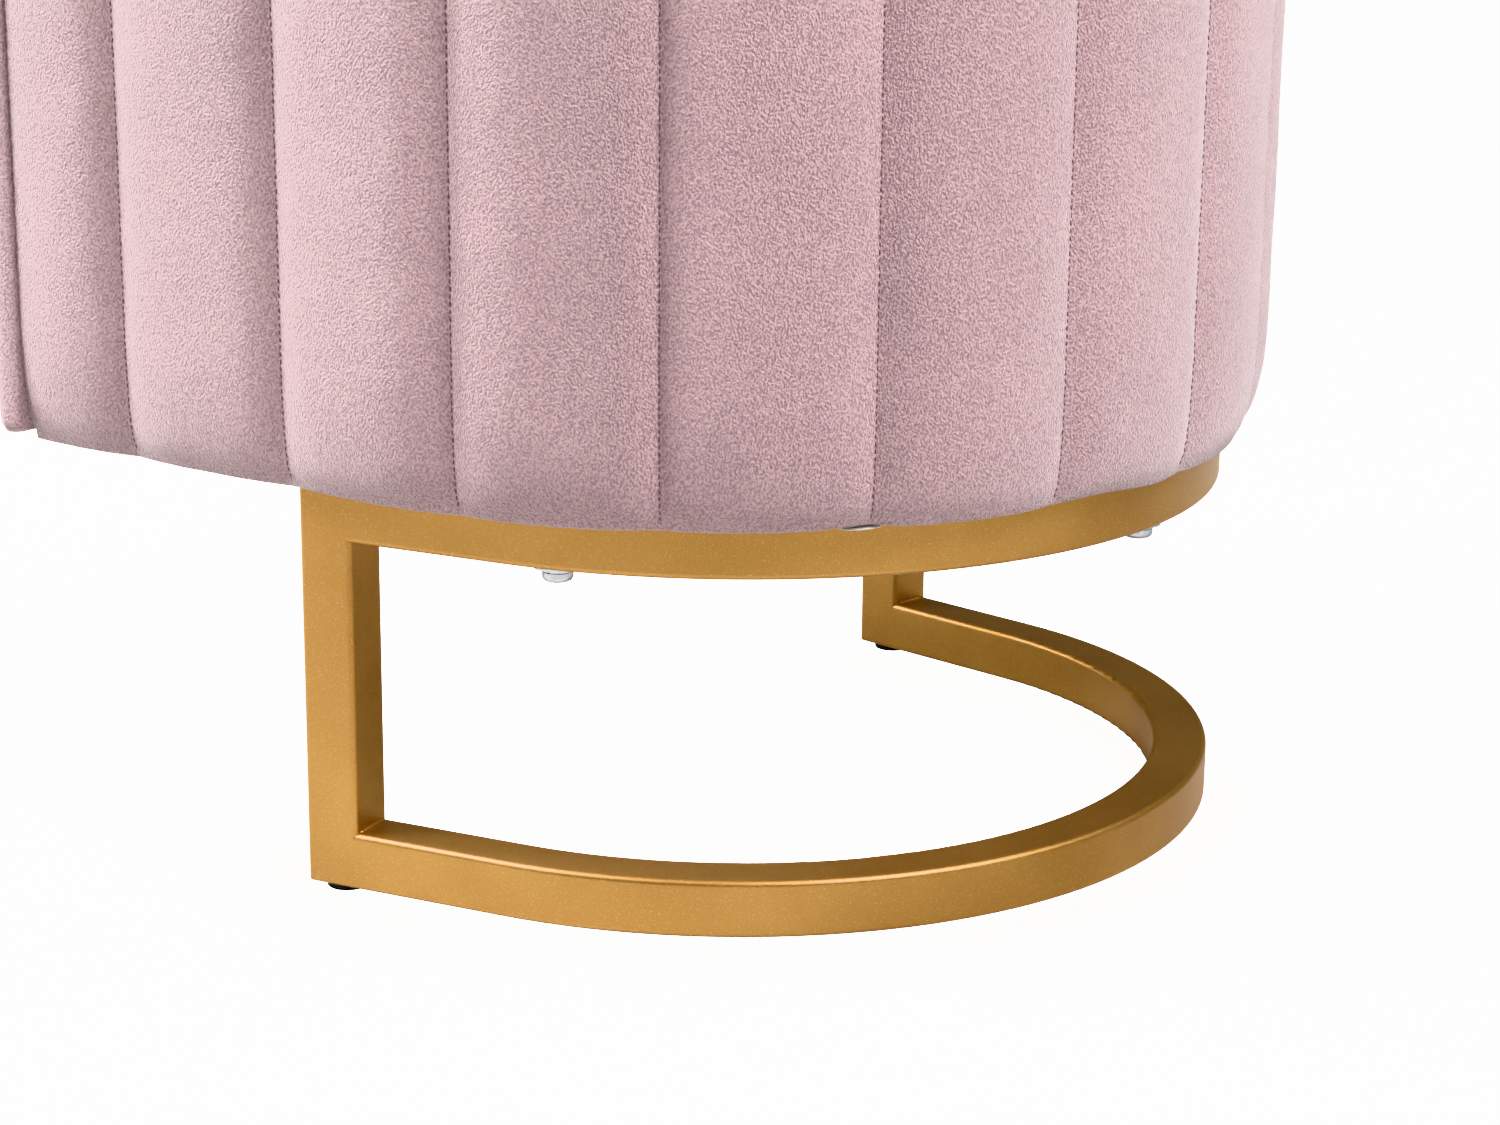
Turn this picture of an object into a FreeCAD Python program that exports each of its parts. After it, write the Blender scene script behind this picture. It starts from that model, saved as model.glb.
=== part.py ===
import FreeCAD, Part
import math
import os
from FreeCAD import Vector

# Barrel chair on a bent steel tube base, in millimetres.
# +Z is up, the seat faces -Y, the round back points to +Y, and the floor is z = 0.
# The origin is the middle of the chair's bounding box, on the floor.

# Overall body
BODY_WIDTH = 610.0
BODY_DEPTH = 560.0
BACK_TOP = 735.0
ARM_TOP = 600.0
SLOPE_FRONT_Y = -225.0
SLOPE_BACK_Y = 190.0

# Steel base
TUBE = 30.0
TUBE_WALL = 1.5
TUBE_CORNER = 3.0
TUBE_BORE_CORNER = TUBE_CORNER - TUBE_WALL
RING_RADIUS = 268.0
RING_TURN = 81.0
LEG_LENGTH = 115.0
BASE_TOP = 218.0
FOOT_GAP = 4.0
CORNER_GRIND = 4.0
RING_SETBACK = 22.0

# Layers of the wall, from the outside inwards
QUILT = 15.0
BOARD = 3.0
RIB_WIDTH = 30.0
FOAM = 20.0
PLY = 18.0
BASE_PLY = 15.0
DUST = 1.0

# Heights of the seat's layers
RIB_TOP = 318.0
WIRE = 3.6
WIRE_LIFT = 0.6
CLIP = 0.6
FELT = 5.0
DECK_FOAM = 18.0
DECK_COVER = 1.0
DECK_GAP = 0.5
DECK_INSET = 1.0
CUSHION_HEIGHT = 100.0
CUSHION_GAP = 4.0
COVER = 2.0
CUSHION_EDGE = 20.0
ZIP_HALF_WIDTH = 4.0
ZIP_THICK = 1.5
ZIP_HALF_TURN = 40.0

# Padded edges
EDGE_HEIGHT = 45.0
FRONT_PAD = 24.0
ARM_ROUND = 20.0
TUCK_HEIGHT = 68.0
TUCK_DEPTH = 14.0
HEM = 6.0
APRON_SETBACK = 13.0
APRON_PAD = 14.0

# Fasteners
BOLT_RADIUS = 4.0
BOLT_HOLE = 4.5
BOLT_HEAD_RADIUS = 8.0
BOLT_HEAD = 5.0
BOLT_HEAD_ROUND = 3.0
BOLT_END = 2.0
SOCKET_ACROSS = 5.0
SOCKET_DEPTH = 2.6
WASHER_RADIUS = 12.0
WASHER = 1.6
SPRING_WASHER_RADIUS = 7.4
SPRING_WASHER = 2.0
SPLIT = 0.8
TEE_FLANGE_RADIUS = 11.0
TEE_FLANGE = 1.5
TEE_BARREL_RADIUS = 5.2
TEE_BARREL = 13.0
BOLT_ARC = 353.0
SCREW_RADIUS = 2.0
SCREW_HEAD_RADIUS = 4.0
SCREW_LENGTH = 40.0
SCREW_TIP = 5.0
SCREW_POINT = 0.3

# Levelling feet
PAD_RADIUS = 11.0
BACK_PAD_RADIUS = 7.0
PAD_HEIGHT = 3.8
PAD_EDGE = 1.2
STEM_RADIUS = 4.0
STEM_FOOT = 1.5
STEM_TOP = 26.0
STEM_CHAMFER = 1.0
STEM_SLOT = 1.2
STEM_SLOT_DEPTH = 2.0
RUNNING_GAP = 0.05
FLOAT_GAP = 0.2
NUT_ACROSS = 13.0
NUT_HEIGHT = 8.0
FOOT_FROM_END = 15.0

# Derived places
HALF_DEPTH = BODY_DEPTH / 2
OUTER_R = BODY_WIDTH / 2
ARC_Y = HALF_DEPTH - OUTER_R
FRONT_Y = -HALF_DEPTH
RING_Y = HALF_DEPTH - RING_SETBACK - RING_RADIUS
TUBE_LINE_R = RING_RADIUS - TUBE / 2
BODY_BOTTOM = BASE_TOP + DUST
BOARD_TOP = BODY_BOTTOM + BASE_PLY
BOARD_R = OUTER_R - QUILT
RIB_R = BOARD_R - BOARD
RIB_INNER_R = RIB_R - RIB_WIDTH
FOAM_R = RIB_INNER_R - BOARD
INNER_QUILT_R = FOAM_R - FOAM
SEAT_R = INNER_QUILT_R - QUILT
BOTTOM_R = OUTER_R - TUCK_DEPTH
BASE_BOARD_R = BOTTOM_R - HEM
RIB_BOTTOM = RIB_TOP - PLY
SEAT_RIB_INNER_R = INNER_QUILT_R - 5.0
FELT_R = SEAT_R + 4.0
ARM_BOARD_X0 = SEAT_R + 6.0
ARM_BOARD_X1 = OUTER_R - 8.0
SCREW_R = RIB_INNER_R + 8.0
STEP_Z = BOARD_TOP + 2.0
WIRE_TOP = RIB_TOP + WIRE_LIFT + WIRE
CLIP_TOP = WIRE_TOP + CLIP
FELT_TOP = CLIP_TOP + FELT
DECK_TOP = FELT_TOP + DECK_FOAM
QUILT_BOTTOM = FELT_TOP + 2.0
CUSHION_BOTTOM = DECK_TOP + DECK_COVER + DECK_GAP
PAD_BACK_Y = FRONT_Y + FRONT_PAD
WALL_FRONT_Y = PAD_BACK_Y + PLY
APRON_FRONT_Y = FRONT_Y + APRON_SETBACK
CUSHION_FRONT_Y = APRON_FRONT_Y + 2.0
RAIL_FRONT_Y = APRON_FRONT_Y + APRON_PAD
RAIL_THICK = 25.0
RAIL_BACK_Y = RAIL_FRONT_Y + RAIL_THICK
MIDDLE_RIB_Z = 470.0
STUD = 18.0
STUD_ANGLES = (-90.0, -52.0, -20.0, 20.0, 52.0, 90.0)
STUD_SIDE_Y = -160.0
RAIL_SCREW_XS = (-170.0, -60.0, 60.0, 170.0)
SPRING_XS = (-170.0, -85.0, 0.0, 85.0, 170.0)
SPRING_HALF_WIDTH = 22.0
SPRING_BEND = 7.0
SPRING_HOLD = 12.0
FAR = 2000.0


# ---------------------------------------------------------------- helpers

def prism(points, direction):
    """A straight-edged outline, given as points, extruded along a vector."""
    outline = Part.makePolygon([Vector(*p) for p in points] + [Vector(*points[0])])
    return Part.Face(outline).extrude(direction)


def block(x0, x1, y0, y1, z0, z1):
    return Part.makeBox(x1 - x0, y1 - y0, z1 - z0, Vector(x0, y0, z0))


def cylinder(radius, z0, z1, x=0.0, y=0.0):
    return Part.makeCylinder(radius, z1 - z0, Vector(x, y, z0))


def hexagon(across, z0, z1, x=0.0, y=0.0):
    corner = across / 2 / math.cos(math.radians(30))
    turns = [math.radians(60 * i) for i in range(6)]
    points = [(x + corner * math.cos(t), y + corner * math.sin(t), z0) for t in turns]
    return prism(points, Vector(0, 0, z1 - z0))


def fused(shapes):
    whole = shapes[0]
    for shape in shapes[1:]:
        whole = whole.fuse(shape)
    return whole.removeSplitter()


def group(solids):
    return Part.makeCompound(solids)


def mirrored(shape):
    return shape.mirror(Vector(0, 0, 0), Vector(1, 0, 0))


def u_plate(radius, front_y, z0, z1):
    """A plate with a half-round back, straight sides and a straight front."""
    left = Vector(-radius, ARC_Y, z0)
    right = Vector(radius, ARC_Y, z0)
    edges = [
        Part.Arc(right, Vector(0, ARC_Y + radius, z0), left).toShape(),
        Part.makeLine(left, Vector(-radius, front_y, z0)),
        Part.makeLine(Vector(-radius, front_y, z0), Vector(radius, front_y, z0)),
        Part.makeLine(Vector(radius, front_y, z0), right),
    ]
    return Part.Face(Part.Wire(edges)).extrude(Vector(0, 0, z1 - z0))


def u_wall(outer_r, inner_r, front_y, z0, z1):
    """A wall of even thickness that follows the chair's back and sides, open to the front."""
    return u_plate(outer_r, front_y, z0, z1).cut(u_plate(inner_r, front_y - 1, z0 - 1, z1 + 1))


def u_sweep(profile_edges, front_y):
    """Carries a closed profile, drawn in the plane x > 0, y = ARC_Y, round the back and along both sides."""
    profile = Part.Face(Part.Wire(profile_edges))
    axis = Vector(0, ARC_Y, 0)
    back = profile.revolve(axis, Vector(0, 0, 1), 180)
    right = profile.extrude(Vector(0, front_y - ARC_Y, 0))
    return fused([right, back, mirrored(right)])


def top_height(y):
    """Height of the padded top edge: level arms, a smooth rise and a level back."""
    share = (y - SLOPE_FRONT_Y) / (SLOPE_BACK_Y - SLOPE_FRONT_Y)
    share = min(1.0, max(0.0, share))
    return ARM_TOP + (BACK_TOP - ARM_TOP) * share * share * (3 - 2 * share)


def above_top(drop):
    """Everything higher than the top edge lowered by drop, as a cutting tool."""
    steps = 10
    span = SLOPE_BACK_Y - SLOPE_FRONT_Y
    x = -OUTER_R - 50.0
    ys = [SLOPE_FRONT_Y + span * i / steps for i in range(steps + 1)]
    rise = Part.BSplineCurve()
    points = [Vector(x, y, top_height(y) - drop) for y in ys]
    rise.interpolate(points, InitialTangent=Vector(0, 1, 0), FinalTangent=Vector(0, 1, 0))
    front = Vector(x, FRONT_Y - 50, ARM_TOP - drop)
    back = Vector(x, HALF_DEPTH + 50, BACK_TOP - drop)
    high_back = Vector(x, HALF_DEPTH + 50, FAR)
    high_front = Vector(x, FRONT_Y - 50, FAR)
    edges = [
        Part.makeLine(front, points[0]),
        rise.toShape(),
        Part.makeLine(points[-1], back),
        Part.makeLine(back, high_back),
        Part.makeLine(high_back, high_front),
        Part.makeLine(high_front, front),
    ]
    return Part.Face(Part.Wire(edges)).extrude(Vector(-2 * x, 0, 0))


def below_top(shape, drop):
    return shape.cut(above_top(drop))


def slice_under_top(outer_r, inner_r, front_y, drop_high, drop_low):
    """The part of a wall between two lines that run parallel to the top edge."""
    wall = u_wall(outer_r, inner_r, front_y, BODY_BOTTOM, BACK_TOP + 10)
    return below_top(wall, drop_high).common(above_top(drop_low))


# ---------------------------------------------------------------- steel base

def tube_section(half, corner):
    """Square with rounded corners in the plane x = 0, centred on the ring's centreline at its back."""
    y0 = RING_Y + TUBE_LINE_R
    straight = half - corner
    slant = corner * math.cos(math.radians(45))
    edges = []
    for i in range(4):
        turn = math.radians(90 * i)

        def at(u, v, c=math.cos(turn), s=math.sin(turn)):
            return Vector(0, y0 + u * c - v * s, u * s + v * c)

        edges.append(Part.makeLine(at(half, -straight), at(half, straight)))
        middle = at(straight + slant, straight + slant)
        edges.append(Part.Arc(at(half, straight), middle, at(straight, half)).toShape())
    return Part.Wire(edges)


def ring_solid(half, corner, z_middle):
    """Bar of the tube's outline, bent round the back and running straight into both legs."""
    face = Part.Face(tube_section(half, corner))
    face.translate(Vector(0, 0, z_middle))
    centre = Vector(0, RING_Y, 0)
    face.rotate(centre, Vector(0, 0, 1), -RING_TURN)
    back = face.revolve(centre, Vector(0, 0, 1), 2 * RING_TURN)
    turn = math.radians(RING_TURN)
    leg = face.extrude(Vector(math.cos(turn), -math.sin(turn), 0) * LEG_LENGTH)
    return fused([leg, back, mirrored(leg)])


def leg_end():
    """The right leg's end on the tube's centreline, in plan."""
    turn = math.radians(RING_TURN)
    x = TUBE_LINE_R * math.sin(turn) + LEG_LENGTH * math.cos(turn)
    y = RING_Y + TUBE_LINE_R * math.cos(turn) - LEG_LENGTH * math.sin(turn)
    return x, y


def on_right_leg(shape):
    """Places a shape drawn with x across the tube and y back from the leg's end."""
    shape = shape.copy()
    shape.rotate(Vector(0, 0, 0), Vector(0, 0, 1), 90.0 - RING_TURN)
    x, y = leg_end()
    shape.translate(Vector(x, y, 0))
    return shape


def mitre_tool(z_outside, side, keep_post):
    """Wedge on one side of a 45 degree mitre; side is +1 at the top corner and -1 at the bottom one."""
    z_far = z_outside - side * (TUBE + 1)
    z_near = z_outside + side
    third = (TUBE + 1, z_near) if keep_post else (-1.0, z_far)
    outline = [(-1.0, z_near), (TUBE + 1, z_far), third]
    points = [(-TUBE, y, z) for y, z in outline]
    return on_right_leg(prism(points, Vector(2 * TUBE, 0, 0)))


def corner_tool(z_outside, side):
    """What grinding takes off the outer edge of a mitred corner."""
    z_axis = z_outside - side * CORNER_GRIND
    low = min(z_outside + side, z_axis)
    bar = block(-TUBE, TUBE, -1, CORNER_GRIND, low, low + CORNER_GRIND + 1)
    axis = Vector(-TUBE, CORNER_GRIND, z_axis)
    return on_right_leg(bar.cut(Part.makeCylinder(CORNER_GRIND, 2 * TUBE, axis, Vector(1, 0, 0))))


def both_sides(tool):
    return [tool, mirrored(tool)]


def ring(z_outside, side):
    """Hollow ring with both ends mitred; z_outside is its face towards the body or the floor."""
    z_middle = z_outside - side * TUBE / 2
    tube = ring_solid(TUBE / 2, TUBE_CORNER, z_middle)
    tube = tube.cut(ring_solid(TUBE / 2 - TUBE_WALL, TUBE_BORE_CORNER, z_middle))
    for tool in both_sides(mitre_tool(z_outside, side, False)) + both_sides(corner_tool(z_outside, side)):
        tube = tube.cut(tool)
    return tube


def bolt_places():
    """Plan positions of the bolts through the top ring: at the back and near each leg."""
    places = []
    for arc in (-BOLT_ARC, 0.0, BOLT_ARC):
        turn = arc / RING_RADIUS
        places.append((TUBE_LINE_R * math.sin(turn), RING_Y + TUBE_LINE_R * math.cos(turn)))
    return places


def foot_places():
    """Plan positions of the feet by name: under each post and under the back of the ring."""
    slope = math.radians(90.0 - RING_TURN)
    x, y = leg_end()
    right = (x - FOOT_FROM_END * math.sin(slope), y + FOOT_FROM_END * math.cos(slope))
    return {"left": (-right[0], right[1]), "right": right, "back": (0.0, RING_Y + TUBE_LINE_R)}


def base_top_ring():
    tube = ring(BASE_TOP, 1)
    for x, y in bolt_places():
        tube = tube.cut(cylinder(BOLT_HOLE, BASE_TOP - TUBE - 1, BASE_TOP + 1, x, y))
    return tube


def base_bottom_ring():
    tube = ring(FOOT_GAP, -1)
    for x, y in foot_places().values():
        tube = tube.cut(cylinder(BOLT_HOLE, FOOT_GAP - 1, FOOT_GAP + TUBE / 2, x, y))
    return tube


def base_post():
    """Right post: the same tube, upright, mitred to both rings."""
    height = BASE_TOP - FOOT_GAP
    outside = Part.Face(post_outline(TUBE / 2, TUBE_CORNER)).extrude(Vector(0, 0, height))
    inside = Part.Face(post_outline(TUBE / 2 - TUBE_WALL, TUBE_BORE_CORNER)).extrude(Vector(0, 0, height))
    post = on_right_leg(outside.cut(inside))
    for z, side in ((BASE_TOP, 1), (FOOT_GAP, -1)):
        post = post.cut(mitre_tool(z, side, True))
        post = post.cut(corner_tool(z, side))
    return post


def post_outline(half, corner):
    """The tube's section laid flat at the foot of the post."""
    section = tube_section(half, corner)
    section.translate(Vector(0, -RING_Y - TUBE_LINE_R, 0))
    section.rotate(Vector(0, 0, 0), Vector(0, 1, 0), 90)
    section.translate(Vector(0, TUBE / 2, FOOT_GAP))
    return section


def foot_nuts():
    z0 = FOOT_GAP + TUBE_WALL
    nuts = []
    for x, y in foot_places().values():
        nut = hexagon(NUT_ACROSS, z0, z0 + NUT_HEIGHT, x, y)
        nuts.append(nut.cut(cylinder(STEM_RADIUS + RUNNING_GAP, z0 - 1, z0 + NUT_HEIGHT + 1, x, y)))
    return group(nuts)


def foot_pad(radius, x, y):
    pad = cylinder(radius, 0, PAD_HEIGHT, x, y)
    rims = [e for e in pad.Edges if isinstance(e.Curve, Part.Circle)]
    pad = pad.makeFillet(PAD_EDGE, rims)
    socket = cylinder(STEM_RADIUS + RUNNING_GAP, STEM_FOOT - FLOAT_GAP, PAD_HEIGHT + 1, x, y)
    return pad.cut(socket)


def foot_stem(x, y):
    stem = cylinder(STEM_RADIUS, STEM_FOOT, STEM_TOP, x, y)
    top = [e for e in stem.Edges if e.BoundBox.ZMin > STEM_TOP - 1 and isinstance(e.Curve, Part.Circle)]
    stem = stem.makeChamfer(STEM_CHAMFER, top)
    half = STEM_SLOT / 2
    slot_floor = STEM_TOP - STEM_SLOT_DEPTH
    slot = block(x - STEM_RADIUS, x + STEM_RADIUS, y - half, y + half, slot_floor, STEM_TOP + 1)
    return stem.cut(slot)


# ---------------------------------------------------------------- fasteners

def mounting_bolts():
    """Button-head socket bolts, pushed up through the ring into the tee nuts."""
    top = BASE_TOP - TUBE
    head_top = top - WASHER - SPRING_WASHER
    bolts = []
    for x, y in bolt_places():
        head = cylinder(BOLT_HEAD_RADIUS, head_top - BOLT_HEAD, head_top, x, y)
        rim = [e for e in head.Edges if e.BoundBox.ZMax < head_top - BOLT_HEAD + 0.1]
        head = head.makeFillet(BOLT_HEAD_ROUND, rim)
        shank = cylinder(BOLT_RADIUS, head_top, BOARD_TOP + TEE_FLANGE + BOLT_END, x, y)
        low = head_top - BOLT_HEAD
        bolts.append(fused([head, shank]).cut(hexagon(SOCKET_ACROSS, low - 1, low + SOCKET_DEPTH, x, y)))
    return group(bolts)


def flat_washers():
    top = BASE_TOP - TUBE
    washers = []
    for x, y in bolt_places():
        washer = cylinder(WASHER_RADIUS, top - WASHER, top, x, y)
        washers.append(washer.cut(cylinder(BOLT_HOLE, top - TUBE, top + TUBE, x, y)))
    return group(washers)


def spring_washers():
    """Split rings, shown pressed flat."""
    top = BASE_TOP - TUBE - WASHER
    rings = []
    for x, y in bolt_places():
        ring_shape = cylinder(SPRING_WASHER_RADIUS, top - SPRING_WASHER, top, x, y)
        ring_shape = ring_shape.cut(cylinder(BOLT_HOLE, top - TUBE, top + TUBE, x, y))
        split = block(x, x + WASHER_RADIUS, y - SPLIT / 2, y + SPLIT / 2, top - TUBE, top + TUBE)
        rings.append(ring_shape.cut(split))
    return group(rings)


def tee_nut(x, y):
    flange = cylinder(TEE_FLANGE_RADIUS, BOARD_TOP, BOARD_TOP + TEE_FLANGE, x, y)
    barrel = cylinder(TEE_BARREL_RADIUS, BOARD_TOP - TEE_BARREL, BOARD_TOP, x, y)
    bore = cylinder(BOLT_RADIUS + RUNNING_GAP, BODY_BOTTOM, BOARD_TOP + TUBE, x, y)
    return fused([flange, barrel]).cut(bore)


def tee_nuts():
    return group([tee_nut(x, y) for x, y in bolt_places()])


def screw_places():
    """Under every stud, and two along the front rail on each side."""
    places = []
    for angle in STUD_ANGLES:
        turn = math.radians(angle)
        places.append((SCREW_R * math.sin(turn), ARC_Y + SCREW_R * math.cos(turn)))
    rail_y = (RAIL_FRONT_Y + RAIL_BACK_Y) / 2
    return places + [(x, rail_y) for x in RAIL_SCREW_XS]


def frame_screw(x, y):
    """Countersunk wood screw, driven up through the base board."""
    head_end = BODY_BOTTOM + SCREW_HEAD_RADIUS - SCREW_RADIUS
    tip_start = BODY_BOTTOM + SCREW_LENGTH - SCREW_TIP
    head = Part.makeCone(SCREW_HEAD_RADIUS, SCREW_RADIUS, head_end - BODY_BOTTOM, Vector(x, y, BODY_BOTTOM))
    shank = cylinder(SCREW_RADIUS, head_end, tip_start, x, y)
    tip = Part.makeCone(SCREW_RADIUS, SCREW_POINT, SCREW_TIP, Vector(x, y, tip_start))
    return fused([head, shank, tip])


def frame_screws():
    return group([frame_screw(x, y) for x, y in screw_places()])


# ---------------------------------------------------------------- timber frame

def base_board():
    board = u_plate(BASE_BOARD_R, RAIL_FRONT_Y, BODY_BOTTOM, BOARD_TOP)
    for x, y in bolt_places():
        board = board.cut(cylinder(TEE_BARREL_RADIUS, BODY_BOTTOM - 1, BOARD_TOP + 1, x, y))
    for x, y in screw_places():
        board = board.cut(frame_screw(x, y))
    return board


def front_rail():
    rail = block(-SEAT_R, SEAT_R, RAIL_FRONT_Y, RAIL_BACK_Y, BOARD_TOP, RIB_TOP)
    for x, y in screw_places():
        rail = rail.cut(frame_screw(x, y))
    return rail


def seat_rib():
    """Wide curved rib at seat height, which holds the springs' back ends."""
    return u_wall(RIB_R, SEAT_RIB_INNER_R, WALL_FRONT_Y, RIB_BOTTOM, RIB_TOP)


def middle_rib():
    return u_wall(RIB_R, RIB_INNER_R, WALL_FRONT_Y, MIDDLE_RIB_Z, MIDDLE_RIB_Z + PLY)


def top_rib():
    return slice_under_top(RIB_R, RIB_INNER_R, WALL_FRONT_Y, EDGE_HEIGHT, EDGE_HEIGHT + PLY)


def studs_between(z0, z1):
    """Upright timbers round the back and one in each side."""
    studs = []
    for angle in STUD_ANGLES:
        stud = block(-STUD / 2, STUD / 2, RIB_INNER_R, RIB_R, z0, z1)
        stud = stud.common(cylinder(RIB_R, z0, z1)).cut(cylinder(RIB_INNER_R, z0 - 1, z1 + 1))
        stud.rotate(Vector(0, 0, 0), Vector(0, 0, 1), -angle)
        stud.translate(Vector(0, ARC_Y, 0))
        studs.append(stud)
    for x in (-RIB_R, RIB_INNER_R):
        y = STUD_SIDE_Y
        studs.append(block(x, x + RIB_WIDTH, y - STUD / 2, y + STUD / 2, z0, z1))
    return studs


def lower_studs():
    inside_board = u_plate(BASE_BOARD_R, WALL_FRONT_Y, BOARD_TOP, RIB_BOTTOM)
    studs = []
    for stud in studs_between(BOARD_TOP, RIB_BOTTOM):
        for x, y in screw_places():
            stud = stud.cut(frame_screw(x, y))
        studs.append(stud.common(inside_board))
    return group(studs)


def upper_studs():
    studs = []
    for stud in studs_between(RIB_TOP, BACK_TOP):
        stud = below_top(stud, EDGE_HEIGHT + PLY)
        rib_gap = block(-FAR, FAR, -FAR, FAR, MIDDLE_RIB_Z, MIDDLE_RIB_Z + PLY)
        studs.extend(stud.cut(rib_gap).Solids)
    return group(studs)


def arm_front_board():
    """Right upright board that closes the front of the arm."""
    return block(ARM_BOARD_X0, ARM_BOARD_X1, PAD_BACK_Y, WALL_FRONT_Y, BOARD_TOP, ARM_TOP - EDGE_HEIGHT)


def corner_blocks():
    """Glued three-cornered blocks behind the front rail."""
    size = 45.0
    height = 40.0
    x = SEAT_R - 2.0
    y = RAIL_BACK_Y
    points = [(x, y, BOARD_TOP), (x, y + size, BOARD_TOP), (x - size, y, BOARD_TOP)]
    right = prism(points, Vector(0, 0, height))
    return group([right, mirrored(right)])


def outer_board():
    return below_top(u_wall(BOARD_R, RIB_R, WALL_FRONT_Y, STEP_Z, BACK_TOP), EDGE_HEIGHT)


def inner_board():
    return below_top(u_wall(RIB_INNER_R, FOAM_R, WALL_FRONT_Y, FELT_TOP, BACK_TOP), EDGE_HEIGHT)


# ---------------------------------------------------------------- upholstery

def inner_foam():
    return below_top(u_wall(FOAM_R, INNER_QUILT_R, WALL_FRONT_Y, FELT_TOP, BACK_TOP), EDGE_HEIGHT)


def outer_channel_panel():
    """Quilted outer cover: upright outside, tucked in under the body at the bottom."""
    tuck_top = BODY_BOTTOM + TUCK_HEIGHT

    def at(r, z):
        return Vector(r, ARC_Y, z)

    sine = math.sin(math.radians(45))
    middle = at(BOTTOM_R + TUCK_DEPTH * sine, tuck_top - TUCK_HEIGHT * sine)
    tuck = Part.BSplineCurve()
    tuck.interpolate([at(BOTTOM_R, BODY_BOTTOM), middle, at(OUTER_R, tuck_top)],
                     InitialTangent=Vector(1, 0, 0.4), FinalTangent=Vector(0, 0, 1))
    edges = [
        tuck.toShape(),
        Part.makeLine(at(OUTER_R, tuck_top), at(OUTER_R, BACK_TOP)),
        Part.makeLine(at(OUTER_R, BACK_TOP), at(BOARD_R, BACK_TOP)),
        Part.makeLine(at(BOARD_R, BACK_TOP), at(BOARD_R, STEP_Z)),
        Part.makeLine(at(BOARD_R, STEP_Z), at(BASE_BOARD_R, STEP_Z)),
        Part.makeLine(at(BASE_BOARD_R, STEP_Z), at(BASE_BOARD_R, BODY_BOTTOM)),
        Part.makeLine(at(BASE_BOARD_R, BODY_BOTTOM), at(BOTTOM_R, BODY_BOTTOM)),
    ]
    panel = below_top(u_sweep(edges, PAD_BACK_Y), EDGE_HEIGHT)
    boards = fused([arm_front_board(), mirrored(arm_front_board())])
    return panel.cut(boards)


def inner_channel_panel():
    """Quilted inner cover of the back and arms."""
    panel = below_top(u_wall(INNER_QUILT_R, SEAT_R, PAD_BACK_Y, QUILT_BOTTOM, BACK_TOP), EDGE_HEIGHT)
    for tool in both_sides(arm_front_board()):
        panel = panel.cut(tool)
    return panel


def top_roll():
    """Padded band over the top of the wall."""
    return slice_under_top(OUTER_R, SEAT_R, PAD_BACK_Y, 0.0, EDGE_HEIGHT)


def arm_front_pad():
    """Right padded front of the arm, from the base to the top."""
    pad = block(SEAT_R, OUTER_R, FRONT_Y, PAD_BACK_Y, BODY_BOTTOM, ARM_TOP)
    top = [e for e in pad.Edges if e.BoundBox.ZMin > ARM_TOP - 1 and e.BoundBox.YMax < FRONT_Y + 1]
    return pad.makeFillet(ARM_ROUND, top)


def front_apron():
    """Padded front below the cushion."""
    return block(-SEAT_R, SEAT_R, APRON_FRONT_Y, RAIL_FRONT_Y, BODY_BOTTOM, DECK_TOP)


def dust_cover():
    cloth = u_plate(BASE_BOARD_R, RAIL_FRONT_Y, BASE_TOP, BODY_BOTTOM)
    for x, y in bolt_places():
        cloth = cloth.cut(cylinder(TEE_BARREL_RADIUS, BASE_TOP - 1, BODY_BOTTOM + 1, x, y))
    return cloth


def dust_cover_staples():
    """Wire staples that hold the dust cover, inside the ring and along the front."""
    crown = 11.0
    wire = 0.7
    edge = 12.0
    half_turn = 78.0
    half_front = 200.0
    around = 13
    along = 9
    staple = block(-crown / 2, crown / 2, -wire, wire, BASE_TOP - wire, BASE_TOP)
    staples = []
    for i in range(around):
        one = staple.copy()
        one.translate(Vector(0, RING_RADIUS - TUBE - edge, 0))
        one.rotate(Vector(0, 0, 0), Vector(0, 0, 1), half_turn * (2 * i / (around - 1) - 1))
        one.translate(Vector(0, RING_Y, 0))
        staples.append(one)
    for i in range(along):
        one = staple.copy()
        one.translate(Vector(half_front * (2 * i / (along - 1) - 1), RAIL_FRONT_Y + edge, 0))
        staples.append(one)
    return group(staples)


# ---------------------------------------------------------------- seat

def spring_front_y():
    """Where the springs' front bars lie on the rail."""
    return RAIL_BACK_Y - SPRING_HOLD


def spring_back_y(x):
    """Where a spring's back bar lies on the seat rib."""
    return ARC_Y + math.sqrt(SEAT_RIB_INNER_R ** 2 - x * x) + SPRING_HOLD


def seat_spring(x):
    """One zigzag spring from the front rail to the seat rib: straight bars joined by half-round bends."""
    z = WIRE_TOP - WIRE / 2
    start = spring_front_y()
    end = spring_back_y(x)
    bends = int((end - start) // (2 * SPRING_BEND))
    radius = (end - start) / (2 * bends)
    reach = SPRING_HALF_WIDTH - radius
    side = 1
    y = start
    edges = [Part.makeLine(Vector(x, y, z), Vector(x + side * reach, y, z))]
    for i in range(bends):
        tip = Vector(x + side * (reach + radius), y + radius, z)
        far = Vector(x + side * reach, y + 2 * radius, z)
        edges.append(Part.Arc(Vector(x + side * reach, y, z), tip, far).toShape())
        last = i == bends - 1
        edges.append(Part.makeLine(far, Vector(x if last else x - side * reach, y + 2 * radius, z)))
        side = -side
        y += 2 * radius
    path = Part.Wire(edges)
    section = Part.Wire(Part.makeCircle(WIRE / 2, Vector(x, start, z), Vector(1, 0, 0)))
    return path.makePipeShell([section], True, False)


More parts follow.
